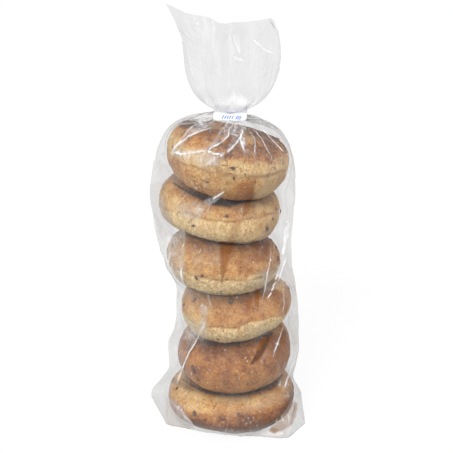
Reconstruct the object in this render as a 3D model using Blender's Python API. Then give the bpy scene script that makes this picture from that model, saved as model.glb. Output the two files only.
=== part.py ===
"""A clear bag of six stacked bagels, closed at the neck by a flat clip.

Two solids. The bag is one closed body out to its film: it swells over each bagel, has a
folded seam down each side, six corners on its base, a gathered neck and a ruffle above it.
The clip is a notched plate with a hole and a throat, pushed on round the neck.

Frame: the base stands on z = 0, the origin is at its middle, +Z is up, the front faces -Y.
"""

from math import acos, asin, cos, degrees, exp, pi, radians, sin, sqrt, tan

import bmesh
import bpy
from mathutils import Vector

MM = 0.001

# The stack, bottom bagel first: its middle, radius, half thickness and lean.
# lean_front is how far its front edge drops, lean_right how far its right edge drops.
BAGELS = (
    dict(x=4.0 * MM, z=20 * MM, radius=59 * MM, half=21 * MM, lean_front=0, lean_right=0),
    dict(x=7.5 * MM, z=64.5 * MM, radius=52 * MM, half=24 * MM, lean_front=4.5, lean_right=-5),
    dict(x=8.5 * MM, z=112 * MM, radius=49.5 * MM, half=22.5 * MM, lean_front=3.5, lean_right=-5.5),
    dict(x=-2.5 * MM, z=156 * MM, radius=50.5 * MM, half=22.5 * MM, lean_front=-0.5, lean_right=4.5),
    dict(x=-6.0 * MM, z=202.5 * MM, radius=52.5 * MM, half=22 * MM, lean_front=0, lean_right=9.5),
    dict(x=0.5 * MM, z=248 * MM, radius=53 * MM, half=22.5 * MM, lean_front=2, lean_right=11),
)
RIM_DEPTH = 22 * MM          # how far in a bagel's rounded rim runs
FOOT_DEPTH = 36 * MM         # how far in the bottom bagel's lower rim runs
FILM_SLACK = 1.2 * MM        # the film's distance from the crust
BRIDGE = 8 * MM              # how stiffly the film bridges the gap between two rims
BRIDGE_STEPS = 72            # heights along the stack where a rim may hold the film out
VALLEY_ROUNDING = 4.5 * MM   # how far up and down the bottom of a valley is rounded

# Rings of points from the base to the neck, and where the two side seams run.
AROUND = 64                  # points on each ring
RIGHT_SEAM = -3              # the seams' places on a ring, in steps from +X
LEFT_SEAM = 28
SEAM_LEVELS = (              # height, left seam's distance, right seam's distance, in mm
    (0, 78.4, 75.6),
    (7, 78, 74.5),
    (22, 67, 72),
    (34, 58, 70.5),
    (46, 58.5, 62),
    (60, 59.5, 65.5),
    (78, 52, 67),
    (92, 49.5, 67),
    (118, 49, 66),
    (138, 57, 63),
    (158, 66.5, 59),
    (182, 71, 58.5),
    (202, 74.5, 60),
    (220, 72, 61),
    (240, 68.5, 60.5),
    (250, 67, 59),
)
BASE_CORNERS = (             # front left, front right, back right, back left
    (-54.5 * MM, -25.5 * MM),
    (53.5 * MM, -49.5 * MM),
    (55 * MM, 34 * MM),
    (-48 * MM, 52 * MM),
)
BASE_BLEND = 34 * MM         # height over which the flat-sided base turns round
CORNER_TOLERANCE = 1e-5      # share of an edge by which a ray may miss a corner
FOOT_HEIGHT = 2 * MM         # below this only the base's outline holds the film out
SHOULDER_Z = 238 * MM        # the film leaves the top rim here, and turns in to the neck
BODY_LEVELS = 44
DOME_LEVELS = 9
DOME_ROUNDNESS = 2.55        # 2 is an ellipse, more is squarer

# The gathered neck, and the pleats that run into it.
NECK_X = 3.4 * MM
NECK_RADIUS = 4 * MM
NECK_BOTTOM = 283.5 * MM     # heights of its middle at its two ends
NECK_TOP = 291.4 * MM
NECK_LEAN = 22               # degrees that it leans to the front, with the clip square on it
PLEATS = 16
PLEAT_DEPTH = 2.2 * MM

# The ruffle above the neck: a flattened fan with a long left tip.
RUFFLE_LEVELS = 14
RUFFLE_SPACING = 1.4         # how much closer together its levels lie near the neck
RUFFLE_LEFT = 40 * MM        # the fan's reach to each side of the neck
RUFFLE_RIGHT = 42.5 * MM
RUFFLE_RIGHT_TUCK = 10 * MM  # its right side turns in again towards the top
RUFFLE_TUCK_POWER = 6        # how late it does so
RUFFLE_LEFT_OPENING = 5.3    # how soon each side opens out above the neck
RUFFLE_RIGHT_OPENING = 5
RUFFLE_FLARE = 0.6           # how flat it first leaves the neck
TIP_REACH = 13 * MM          # the left tip's reach past the fan's side
TIP_START = 0.68             # share of the height where the tip starts
TIP_POWER = 1.6              # how late the tip runs out
VALLEY_Z = 363 * MM          # the top edge's lowest point
LEFT_TIP_Z = 379 * MM
RIGHT_TIP_Z = 368 * MM
RUFFLE_FAR_LEFT = RUFFLE_LEFT + TIP_REACH - NECK_X     # where the top edge ends on each side
RUFFLE_FAR_RIGHT = RUFFLE_RIGHT - RUFFLE_RIGHT_TUCK + NECK_X
RUFFLE_SWEEP = 1.3           # how late the top edge rises to its two ends
RUFFLE_DEPTH = 13 * MM       # half the fan's thickness at its fullest
RUFFLE_BELLY = 0.8           # 1 is fullest halfway up, less is lower
RUFFLE_EDGE = 0.9 * MM       # half its thickness at the top edge
RUFFLE_WAVE = 5 * MM         # how far it waves to front and back
RUFFLE_WAVES = 1.6
WAVE_START = 1.5             # how soon the waves are at their full depth
RUFFLE_UPRIGHT = 5           # how soon it leaves the neck's lean and stands upright

# The clip: a notched plate, square on the neck, with its hole nearer to its back edge.
CLIP_WIDTH = 28 * MM
CLIP_FRONT = 13.5 * MM       # from the hole's middle to the front edge
CLIP_BACK = 7.5 * MM
CLIP_THICKNESS = 1.4 * MM
CLIP_CORNER = 3.5 * MM
CLIP_NOTCH = 1.6 * MM        # depth of the nick in each side
CLIP_HOLE = 4.8 * MM
CLIP_THROAT = 2.4 * MM       # half the width of the way in to the hole
CLIP_TOOTH = 1.2 * MM        # how far the lips at the throat's mouth close in
CLIP_Z = 289.5 * MM
CLIP_TURN = -4               # degrees that it is turned on the neck


def clear_scene():
    for thing in list(bpy.data.objects):
        bpy.data.objects.remove(thing, do_unlink=True)


def material(name, colour, roughness, metallic=0.0, alpha=1.0):
    made = bpy.data.materials.new(name)
    made.use_nodes = True
    shader = made.node_tree.nodes["Principled BSDF"]
    shader.inputs["Base Color"].default_value = (*colour, 1)
    shader.inputs["Roughness"].default_value = roughness
    shader.inputs["Metallic"].default_value = metallic
    shader.inputs["Alpha"].default_value = alpha
    return made


def smooth(share):
    share = min(1.0, max(0.0, share))
    return share * share * (3 - 2 * share)


def add_solid(name, bm, finish, sharp_angle):
    bmesh.ops.recalc_face_normals(bm, faces=bm.faces)
    mesh = bpy.data.meshes.new(name)
    bm.to_mesh(mesh)
    bm.free()
    mesh.materials.append(finish)
    mesh.shade_smooth()
    mesh.set_sharp_from_angle(angle=radians(sharp_angle))
    solid = bpy.data.objects.new(name, mesh)
    bpy.context.scene.collection.objects.link(solid)
    return solid


# --- how far the film reaches from the axis, by direction and height ---

def circle_reach(x, radius, angle):
    """Distance from the axis to a circle whose middle is at x, along a direction."""
    across = x * sin(angle)
    if radius <= abs(across):
        return 0.0
    return x * cos(angle) + sqrt(radius * radius - across * across)


def bagel_reach(bagel, angle, z):
    """Distance from the axis to one bagel's rim at a height, or 0 above or below it."""
    drop_front = sin(radians(bagel["lean_front"])) * sin(angle)
    drop_right = -sin(radians(bagel["lean_right"])) * cos(angle)
    middle = bagel["z"] + (bagel["radius"] - RIM_DEPTH) * (drop_front + drop_right)
    offset = (z - middle) / bagel["half"]
    if abs(offset) >= 1:
        return 0.0
    depth = FOOT_DEPTH if bagel is BAGELS[0] and offset < 0 else RIM_DEPTH
    radius = bagel["radius"] - depth * (1 - sqrt(1 - offset * offset))
    return circle_reach(bagel["x"], radius, angle)


def stack_reach(angle, z):
    return max(bagel_reach(bagel, angle, z) for bagel in BAGELS) + FILM_SLACK


def bridged_reach(angle, z):
    """The film bends off each rim like a strip that only bends so far."""
    lowest = BAGELS[0]["z"]
    best = stack_reach(angle, z)
    for step in range(BRIDGE_STEPS + 1):
        other = lowest + (BAGELS[-1]["z"] - lowest) * step / BRIDGE_STEPS
        if z < lowest and other > z:
            continue
        sag = (z - other) ** 2 / (2 * BRIDGE)
        best = max(best, stack_reach(angle, other) - sag)
    return best


def film_reach(angle, z):
    """The film follows each rim, and sinks into the gap between two rims in a round valley."""
    nearby = (z - VALLEY_ROUNDING, z - VALLEY_ROUNDING / 2, z, z + VALLEY_ROUNDING / 2, z + VALLEY_ROUNDING)
    return sum(bridged_reach(angle, height) for height in nearby) / len(nearby)


def seam_reach(z, column):
    """A side seam's distance at a height, read between the named levels."""
    height = z / MM
    for below, above in zip(SEAM_LEVELS, SEAM_LEVELS[1:]):
        if height <= above[0]:
            share = smooth((height - below[0]) / (above[0] - below[0]))
            return (below[column] + (above[column] - below[column]) * share) * MM
    return SEAM_LEVELS[-1][column] * MM


def ring_angle(index):
    return 2 * pi * index / AROUND


def with_seam(reach, angle, seam_angle, tip):
    """Pulls the film out to a seam: two straight walls that meet at the seam's tip."""
    turn = abs((angle - seam_angle + pi) % (2 * pi) - pi)
    if tip <= reach:
        return reach
    touch = acos(reach / tip)
    if turn >= touch:
        return reach
    return reach / cos(touch - turn)


def seamed_reach(angle, z):
    reach = film_reach(angle, max(z, BASE_BLEND))
    reach = with_seam(reach, angle, ring_angle(RIGHT_SEAM), seam_reach(z, 2))
    return with_seam(reach, angle, ring_angle(LEFT_SEAM), seam_reach(z, 1))


def base_outline(z):
    """The base's six corners: four named ones and the two side seams at a height."""
    right = Vector((cos(ring_angle(RIGHT_SEAM)), sin(ring_angle(RIGHT_SEAM)))) * seam_reach(z, 2)
    left = Vector((cos(ring_angle(LEFT_SEAM)), sin(ring_angle(LEFT_SEAM)))) * seam_reach(z, 1)
    front_left, front_right, back_right, back_left = (Vector(corner) for corner in BASE_CORNERS)
    return front_left, front_right, right, back_right, back_left, left


def base_reach(angle, corners):
    """Distance from the axis to the base's straight-sided outline."""
    way = Vector((cos(angle), sin(angle)))
    for start, end in zip(corners, corners[1:] + corners[:1]):
        edge = end - start
        turn = way.x * edge.y - way.y * edge.x
        if abs(turn) < 1e-12:
            continue
        distance = (start.x * edge.y - start.y * edge.x) / turn
        share = (start.x * way.y - start.y * way.x) / turn
        if distance > 0 and -CORNER_TOLERANCE <= share <= 1 + CORNER_TOLERANCE:
            return distance
    raise ValueError("the base's outline is open")


# --- the bag ---

def body_ring(z):
    corners = base_outline(min(z, BASE_BLEND))
    share = smooth(z / BASE_BLEND)
    ring = []
    for index in range(AROUND):
        angle = ring_angle(index)
        around = seamed_reach(angle, z)
        blended = base_reach(angle, corners) * (1 - share) + around * share
        reach = max(blended, stack_reach(angle, z)) if z > FOOT_HEIGHT else blended
        ring.append(Vector((reach * cos(angle), reach * sin(angle), z)))
    return ring


def pleat(angle, depth):
    return depth * cos(PLEATS * angle)


def neck_middle(height):
    """The middle of the neck at a height."""
    halfway = (NECK_BOTTOM + NECK_TOP) / 2
    return Vector((NECK_X, (halfway - height) * tan(radians(NECK_LEAN)), height))


def neck_point(angle, height):
    """A point on the neck's skin, in the plane that lies square to the leaning neck."""
    lean = radians(NECK_LEAN)
    way = Vector((cos(angle), sin(angle) * cos(lean), sin(angle) * sin(lean)))
    return neck_middle(height) + way * NECK_RADIUS


def dome_ring(share, shoulder):
    """From the shoulder over the top bagel and in to the neck, with pleats that deepen."""
    turn = share * pi / 2
    inward = 1 - cos(turn) ** (2 / DOME_ROUNDNESS)
    upward = sin(turn) ** (2 / DOME_ROUNDNESS)
    ring = []
    for index, start in enumerate(shoulder):
        angle = ring_angle(index)
        neck = neck_point(angle, NECK_BOTTOM)
        point = start.lerp(neck, inward)
        point.z = start.z + (neck.z - start.z) * upward
        fold = 4 * share * (1 - share)
        point.z += pleat(angle, PLEAT_DEPTH) * fold
        ring.append(point)
    return ring


def neck_ring(height):
    return [neck_point(ring_angle(index), height) for index in range(AROUND)]


def ruffle_top(x):
    """The height of the ruffle's top edge, from its long left tip to its right corner."""
    if x < 0:
        return VALLEY_Z + (LEFT_TIP_Z - VALLEY_Z) * min(1.0, -x / RUFFLE_FAR_LEFT) ** RUFFLE_SWEEP
    return VALLEY_Z + (RIGHT_TIP_Z - VALLEY_Z) * min(1.0, x / RUFFLE_FAR_RIGHT) ** RUFFLE_SWEEP


def opened_out(reach, opening, share):
    """How far a side of the ruffle reaches: fast out of the neck, then nearly straight up."""
    opened = (1 - exp(-opening * share)) / (1 - exp(-opening))
    return NECK_RADIUS + (reach - NECK_RADIUS) * opened ** RUFFLE_FLARE


def ruffle_ring(share):
    """One level of the fan. A ring's front and back points share an x, so it can be shut on top."""
    tip = max(0.0, (share - TIP_START) / (1 - TIP_START)) ** TIP_POWER
    left = opened_out(RUFFLE_LEFT, RUFFLE_LEFT_OPENING, share) + TIP_REACH * tip
    tuck = RUFFLE_RIGHT_TUCK * share ** RUFFLE_TUCK_POWER
    right = opened_out(RUFFLE_RIGHT, RUFFLE_RIGHT_OPENING, share) - tuck
    fullness = sin(pi * share ** RUFFLE_BELLY)
    depth = NECK_RADIUS * (1 - share) + RUFFLE_DEPTH * fullness + RUFFLE_EDGE * share
    leaning = (1 - share) ** RUFFLE_UPRIGHT
    ring = []
    for index in range(AROUND):
        angle = ring_angle(index)
        reach = right if cos(angle) > 0 else left
        x = NECK_X + reach * cos(angle)
        wave = RUFFLE_WAVE * smooth(share * WAVE_START) * sin(RUFFLE_WAVES * 2 * pi * x / (left + right))
        out = depth * sin(angle)
        y = wave + out + neck_middle(NECK_TOP).y * leaning
        z = NECK_TOP + (ruffle_top(x) - NECK_TOP) * share + out * sin(radians(NECK_LEAN)) * leaning
        ring.append(Vector((x, y, z)))
    return ring


def bag_rings():
    rings = [body_ring(SHOULDER_Z * level / (BODY_LEVELS - 1)) for level in range(BODY_LEVELS)]
    shoulder = rings[-1]
    for level in range(1, DOME_LEVELS + 1):
        rings.append(dome_ring(level / DOME_LEVELS, shoulder))
    rings.append(neck_ring(NECK_TOP))
    for level in range(1, RUFFLE_LEVELS + 1):
        rings.append(ruffle_ring((level / RUFFLE_LEVELS) ** RUFFLE_SPACING))
    return rings


def build_bag(finish):
    bm = bmesh.new()
    rings = [[bm.verts.new(point) for point in ring] for ring in bag_rings()]
    for lower, upper in zip(rings, rings[1:]):
        for index in range(AROUND):
            after = (index + 1) % AROUND
            bm.faces.new((lower[index], lower[after], upper[after], upper[index]))
    bm.faces.new(list(reversed(rings[0])))
    top = rings[-1]
    half = AROUND // 2
    for index in range(half):
        back_here, back_next = top[index], top[index + 1]
        front_here, front_next = top[-index], top[-index - 1]
        corner_points = []
        for vert in (back_here, back_next, front_next, front_here):
            if vert not in corner_points:
                corner_points.append(vert)
        bm.faces.new(corner_points)
    bmesh.ops.triangulate(bm, faces=[face for face in bm.faces if len(face.verts) == 4])
    return add_solid("bag", bm, finish, sharp_angle=40)


# --- the clip ---

def arc(middle_x, middle_y, radius, start, end, steps):
    points = []
    for step in range(steps + 1):
        angle = radians(start + (end - start) * step / steps)
        points.append((middle_x + radius * cos(angle), middle_y + radius * sin(angle)))
    return points


def clip_outline():
    """Round the plate anticlockwise from the throat's mouth at the back, then in round the hole."""
    half_width = CLIP_WIDTH / 2
    inner_x = half_width - CLIP_CORNER
    inner_front, inner_back = CLIP_CORNER - CLIP_FRONT, CLIP_BACK - CLIP_CORNER
    nick_y = (CLIP_BACK - CLIP_FRONT) / 2
    nick = ((half_width, CLIP_NOTCH), (half_width - CLIP_NOTCH, 0), (half_width, -CLIP_NOTCH))
    left_nick = [(-x, nick_y + y) for x, y in nick]
    right_nick = [(x, nick_y + y) for x, y in reversed(nick)]
    mouth = CLIP_THROAT - CLIP_TOOTH
    meeting = degrees(asin(CLIP_THROAT / CLIP_HOLE))
    hole_start = 90 - meeting
    outline = [(-mouth, CLIP_BACK)]
    outline += arc(-inner_x, inner_back, CLIP_CORNER, 90, 180, 4)
    outline += left_nick
    outline += arc(-inner_x, inner_front, CLIP_CORNER, 180, 270, 4)
    outline += arc(inner_x, inner_front, CLIP_CORNER, 270, 360, 4)
    outline += right_nick
    outline += arc(inner_x, inner_back, CLIP_CORNER, 0, 90, 4)
    outline += [(mouth, CLIP_BACK)]
    outline += arc(0, 0, CLIP_HOLE, hole_start, hole_start - 360 + 2 * meeting, 28)
    return outline


def build_clip(finish):
    bm = bmesh.new()
    verts = [bm.verts.new((x, y, -CLIP_THICKNESS / 2)) for x, y in clip_outline()]
    face = bm.faces.new(verts)
    raised = bmesh.ops.extrude_face_region(bm, geom=[face])["geom"]
    lifted = [item for item in raised if isinstance(item, bmesh.types.BMVert)]
    bmesh.ops.translate(bm, verts=lifted, vec=(0, 0, CLIP_THICKNESS))
    bmesh.ops.triangulate(bm, faces=bm.faces)
    clip = add_solid("clip", bm, finish, sharp_angle=30)
    clip.location = neck_middle(CLIP_Z)
    clip.rotation_euler = (radians(NECK_LEAN), 0, radians(CLIP_TURN))
    return clip


def main():
    clear_scene()
    film = material("bag_film", (0.80, 0.66, 0.50), roughness=0.25)
    white_plastic = material("clip_plastic", (0.92, 0.93, 0.95), roughness=0.35)
    build_bag(film)
    build_clip(white_plastic)


main()
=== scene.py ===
# Six cinnamon raisin bagels stacked in a clear film bag, with a flat clip on its neck.
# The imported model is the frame. The film takes its form from the node "bag", and the bagels
# and their raisins stand inside it. Metres, +Z up, and the front faces -Y.

import math
import random

import bpy
import numpy as np
from mathutils import Matrix, Vector, noise
from mathutils.bvhtree import BVHTree


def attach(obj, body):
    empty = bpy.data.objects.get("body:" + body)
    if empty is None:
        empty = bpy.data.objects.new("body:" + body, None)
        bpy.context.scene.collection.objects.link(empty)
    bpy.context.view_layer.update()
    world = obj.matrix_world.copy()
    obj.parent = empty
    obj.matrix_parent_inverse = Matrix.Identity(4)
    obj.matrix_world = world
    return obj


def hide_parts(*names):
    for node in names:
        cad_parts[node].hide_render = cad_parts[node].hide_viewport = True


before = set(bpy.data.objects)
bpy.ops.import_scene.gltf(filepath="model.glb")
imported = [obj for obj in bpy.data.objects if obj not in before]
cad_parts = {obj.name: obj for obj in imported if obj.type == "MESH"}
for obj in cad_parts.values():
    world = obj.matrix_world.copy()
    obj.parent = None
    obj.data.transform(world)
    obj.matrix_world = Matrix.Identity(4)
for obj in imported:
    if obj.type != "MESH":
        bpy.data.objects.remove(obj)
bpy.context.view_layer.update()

mm = 0.001
print("frame loaded")


# Small helpers

def deselectAll():
    if bpy.context.object and bpy.context.object.mode != "OBJECT":
        bpy.ops.object.mode_set(mode="OBJECT")
    bpy.ops.object.select_all(action="DESELECT")


def pick(thing):
    deselectAll()
    thing.select_set(True)
    bpy.context.view_layer.objects.active = thing


def getPoints(thing):
    points = np.zeros(len(thing.data.vertices) * 3)
    thing.data.vertices.foreach_get("co", points)
    return points.reshape(-1, 3)


def setPoints(thing, points):
    thing.data.vertices.foreach_set("co", np.asarray(points, np.float64).ravel())
    thing.data.update()


def getNormals(thing):
    normals = np.zeros(len(thing.data.vertices) * 3)
    thing.data.vertices.foreach_get("normal", normals)
    return normals.reshape(-1, 3)


def storeAttribute(thing, name, values):
    made = thing.data.attributes.new(name, "FLOAT", "POINT")
    made.data.foreach_set("value", np.asarray(values, np.float32))


def wobble(points, size, seed, stretch=(1, 1, 1)):  # soft noise from -1 to 1, lumps about size across
    scale = np.array(stretch) / size
    offset = Vector((seed * 7.13, seed * 3.71, seed * 5.37))
    return np.array([noise.noise(Vector(point) + offset) for point in points * scale])


def smooth(share):
    share = np.clip(share, 0, 1)
    return share * share * (3 - 2 * share)


def bell(values, middle, width):
    return np.exp(-((values - middle) / width) ** 2)


def ridge(distance, width, skew=1.0):  # a sharp fold: a tent whose two sides may differ
    side = np.where(distance > 0, width, width * skew)
    return np.maximum(0, 1 - np.abs(distance) / side)


def finishPiece(piece, material, angle=None):
    piece.data.materials.clear()
    piece.data.materials.append(material)
    pick(piece)
    if angle is None:
        bpy.ops.object.shade_smooth()
    else:
        bpy.ops.object.shade_smooth_by_angle(angle=math.radians(angle))
    deselectAll()


def joinAll(things, name):
    deselectAll()
    for thing in things:
        thing.select_set(True)
    bpy.context.view_layer.objects.active = things[0]
    bpy.ops.object.join()
    made = bpy.context.object
    made.name = name
    bpy.ops.object.transform_apply(location=True, rotation=True, scale=True)
    return made


# Material helpers

def wire(tree, kind, inputs=None, **settings):
    made = tree.nodes.new(kind)
    for name, value in settings.items():
        setattr(made, name, value)
    for name, value in (inputs or {}).items():
        if isinstance(value, bpy.types.NodeSocket):
            tree.links.new(value, made.inputs[name])
        else:
            made.inputs[name].default_value = value
    return made


def calculate(tree, operation, first, second, clamp=False):
    made = wire(tree, "ShaderNodeMath", {0: first, 1: second}, operation=operation, use_clamp=clamp)
    return made.outputs[0]


def blendColours(tree, share, first, second, how="MIX"):
    made = wire(tree, "ShaderNodeMix", data_type="RGBA", blend_type=how)
    for index, value in ((0, share), (6, first), (7, second)):
        if isinstance(value, bpy.types.NodeSocket):
            tree.links.new(value, made.inputs[index])
        elif index == 0:
            made.inputs[0].default_value = value
        else:
            made.inputs[index].default_value = (*value, 1)
    return made.outputs[2]


def stepBetween(tree, value, low, high, fromLow=0.0, fromHigh=1.0):
    made = wire(tree, "ShaderNodeMapRange", {"Value": value, "From Min": low, "From Max": high,
                                            "To Min": fromLow, "To Max": fromHigh})
    made.interpolation_type = "SMOOTHSTEP"
    return made.outputs[0]


def newMaterial(name):
    made = bpy.data.materials.new(name)
    made.use_nodes = True
    return made, made.node_tree, made.node_tree.nodes["Principled BSDF"]


def objectPlace(tree):
    return wire(tree, "ShaderNodeTexCoord").outputs["Object"]


def painted(tree, name):
    return wire(tree, "ShaderNodeAttribute", attribute_name=name).outputs["Fac"]


def clouds(tree, place, scale, detail=2.0):
    return wire(tree, "ShaderNodeTexNoise", {"Vector": place, "Scale": scale, "Detail": detail}).outputs[0]


def bumps(tree, height, strength, distance, **under):
    made = wire(tree, "ShaderNodeBump",
                {"Height": height, "Strength": strength, "Distance": distance * mm, **under})
    return made.outputs[0]


# Camera, floor and lights

camera = dict(place=(0, -0.917, 0.523), target=(0, 0, 0.185), focal=1112, frameSize=453, sensor=36)


def aimAt(thing, place, target):
    thing.rotation_euler = (Vector(target) - Vector(place)).to_track_quat("-Z", "Y").to_euler()


def addCamera():
    lens = camera["focal"] / camera["frameSize"] * camera["sensor"]
    bpy.ops.object.camera_add(location=camera["place"])
    made = bpy.context.object
    made.name = "photoCamera"
    aimAt(made, camera["place"], camera["target"])
    made.data.sensor_width = camera["sensor"]
    made.data.lens = lens
    bpy.context.scene.camera = made


def cameraAxes():
    forward = Vector(camera["target"]) - Vector(camera["place"])
    forward.normalize()
    right = forward.cross(Vector((0, 0, 1))).normalized()
    return np.array(right), np.array(right.cross(forward)), np.array(forward)


def toPhoto(points):  # where points fall in the photo, in its pixels
    right, up, forward = cameraAxes()
    away = points - np.array(camera["place"])
    depth = away @ forward
    middle = camera["frameSize"] / 2
    across = middle + camera["focal"] * (away @ right) / depth
    down = middle - camera["focal"] * (away @ up) / depth
    return np.stack([across, down], axis=1)


def photoRay(pixel):
    right, up, forward = cameraAxes()
    middle = camera["frameSize"] / 2
    across = (pixel[0] - middle) / camera["focal"]
    down = (pixel[1] - middle) / camera["focal"]
    return Vector(camera["place"]), Vector(forward + across * right - down * up).normalized()


def facesCamera(points, normals):
    toCamera = np.array(camera["place"]) - points
    toCamera /= np.linalg.norm(toCamera, axis=1)[:, None]
    return np.sum(toCamera * normals, axis=1)


studio = dict(
    skyStrength=0.50, groundStrength=0.28,   # light from above and from below
    horizon=(-0.15, 0.25),                   # between these heights one turns into the other
    floorColour=(0.10, 0.10, 0.10), floorGlow=0.90, floorSize=60,  # a floor lit from below has faint shadows
    sunTilt=(58, 0, -22), sunStrength=2.6, sunAngle=26,
    lamps=(  # name, place, aim, width, height, power
        ("keyBox", (-0.8, -1.2, 1.3), (0, 0, 0.18), 0.7, 0.7, 4),
        ("fillBox", (1.2, -1.0, 0.8), (0, 0, 0.18), 0.4, 0.8, 6),
        ("leftStrip", (-1.0, -0.15, 0.35), (0, 0, 0.2), 0.12, 1.0, 1.6),
        ("rightStrip", (0.9, 0.05, 0.4), (0, 0, 0.2), 0.12, 1.0, 2.2),
    ),
)


def addStudio():
    world = bpy.data.worlds.new("studioWorld")
    world.use_nodes = True
    tree = world.node_tree
    way = wire(tree, "ShaderNodeSeparateXYZ", {0: wire(tree, "ShaderNodeTexCoord").outputs["Generated"]})
    strength = stepBetween(tree, way.outputs["Z"], *studio["horizon"],
                           studio["groundStrength"], studio["skyStrength"])
    tree.links.new(strength, tree.nodes["Background"].inputs["Strength"])
    tree.nodes["Background"].inputs["Color"].default_value = (1, 1, 1, 1)
    bpy.context.scene.world = world
    deselectAll()
    bpy.ops.mesh.primitive_plane_add(size=studio["floorSize"])
    floor = bpy.context.object
    floor.name = "paleFloor"
    floor.visible_diffuse = False  # keeps the white floor from lighting the bagels from below
    paint, tree, shader = newMaterial("palePaint")
    shader.inputs["Base Color"].default_value = (*studio["floorColour"], 1)
    shader.inputs["Roughness"].default_value = 0.9
    shader.inputs["Specular IOR Level"].default_value = 0.1
    shader.inputs["Emission Color"].default_value = (1, 1, 1, 1)
    shader.inputs["Emission Strength"].default_value = studio["floorGlow"]
    finishPiece(floor, paint)
    for name, place, aim, width, height, power in studio["lamps"]:
        bpy.ops.object.light_add(type="AREA", location=place)
        lamp = bpy.context.object
        lamp.name = name
        aimAt(lamp, place, aim)
        lamp.data.shape = "RECTANGLE"
        lamp.data.size = width
        lamp.data.size_y = height
        lamp.data.energy = power
    bpy.ops.object.light_add(type="SUN", location=(0, 0, 3))
    sun = bpy.context.object
    sun.name = "softSun"
    sun.rotation_euler = [math.radians(turn) for turn in studio["sunTilt"]]
    sun.data.energy = studio["sunStrength"]
    sun.data.angle = math.radians(studio["sunAngle"])
    sun.visible_glossy = False  # only the softboxes show in the film
    bpy.context.scene.view_settings.view_transform = "Standard"
    bpy.context.scene.cycles.transparent_max_bounces = 32  # the film lies in many layers at the neck


addCamera()
addStudio()
print("camera, floor and lights placed")


# Marks placed by the photo

def pathDistance(pixels, path):  # each pixel's distance to a path, and how far along it that is, 0 to 1
    best = np.full(len(pixels), 1e9)
    along = np.zeros(len(pixels))
    lengths = [math.dist(a, b) for a, b in zip(path, path[1:])]
    before = 0
    for start, end, length in zip(path, path[1:], lengths):
        start, way = np.array(start, float), np.array(end, float) - np.array(start, float)
        share = np.clip(((pixels - start) @ way) / length ** 2, 0, 1)
        distance = np.linalg.norm(pixels - start - share[:, None] * way, axis=1)
        nearer = distance < best
        along[nearer] = (before + share[nearer] * length) / sum(lengths)
        best = np.minimum(best, distance)
        before += length
    return best, along


def insidePart(pixels, corners, edge):  # 1 inside the corners, fading to 0 over edge pixels outside them
    inside = np.zeros(len(pixels), bool)
    for (x1, y1), (x2, y2) in zip(corners, corners[1:] + corners[:1]):
        if y1 != y2:
            crosses = (pixels[:, 1] < y1) != (pixels[:, 1] < y2)
            inside ^= crosses & (pixels[:, 0] < (x2 - x1) * (pixels[:, 1] - y1) / (y2 - y1) + x1)
    away = pathDistance(pixels, corners + corners[:1])[0]
    return np.where(inside, 1.0, smooth(1 - away / edge))


def raggedEdge(points, size, seed):  # shifts in two directions, which make the edge of a part ragged
    return np.stack([wobble(points, size, seed), wobble(points, size, seed + 1)], 1)


def partsOn(parts, pixels, ragged=0, perEdge=0.0, fixed=0.0):
    # How strongly each part of a list acts on each point. fixed is how far its edge is shifted in
    # pixels, and perEdge the same as a share of its soft edge.
    for corners, strength, edge in parts:
        yield strength * insidePart(pixels + (fixed + perEdge * edge) * ragged, corners, edge)


# The six bagels

dough = dict(
    hole=7.5 * mm,           # radius of the hole at its narrowest
    around=360, across=132,  # faces round the ring, and round its section
    flatBase=0.8,            # how far down the base is flattened, as a share of the half height
    baseKeeps=0.35,          # how much of its roundness the base keeps below that
    raised=0.065, taller=1.06,  # makes up for the height that the flat base takes away
    holeWobble=0.16, rimWobble=0.010,
    lumps=(("bigLumps", 30 * mm, 2.6 * mm, 1), ("smallLumps", 9 * mm, 1.2 * mm, 2),
           ("pimples", 2.6 * mm, 0.5 * mm, 2)),  # size, height, and how finely they branch
    rim=0.70,                # the seam shows outside this share of the radius
    seamWidth=0.035, seamCut=1.0 * mm, overhang=0.4 * mm, wrinkle=1.2 * mm,
    apart=0.25 * mm,         # between two bagels that rest on each other
    castFrom=40 * mm,        # how far above a point the search for the lower bagel starts
    shadeAbove=4 * mm, shadeBelow=10 * mm,  # painted shade on both crusts by gaps up to this wide
)
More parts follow.
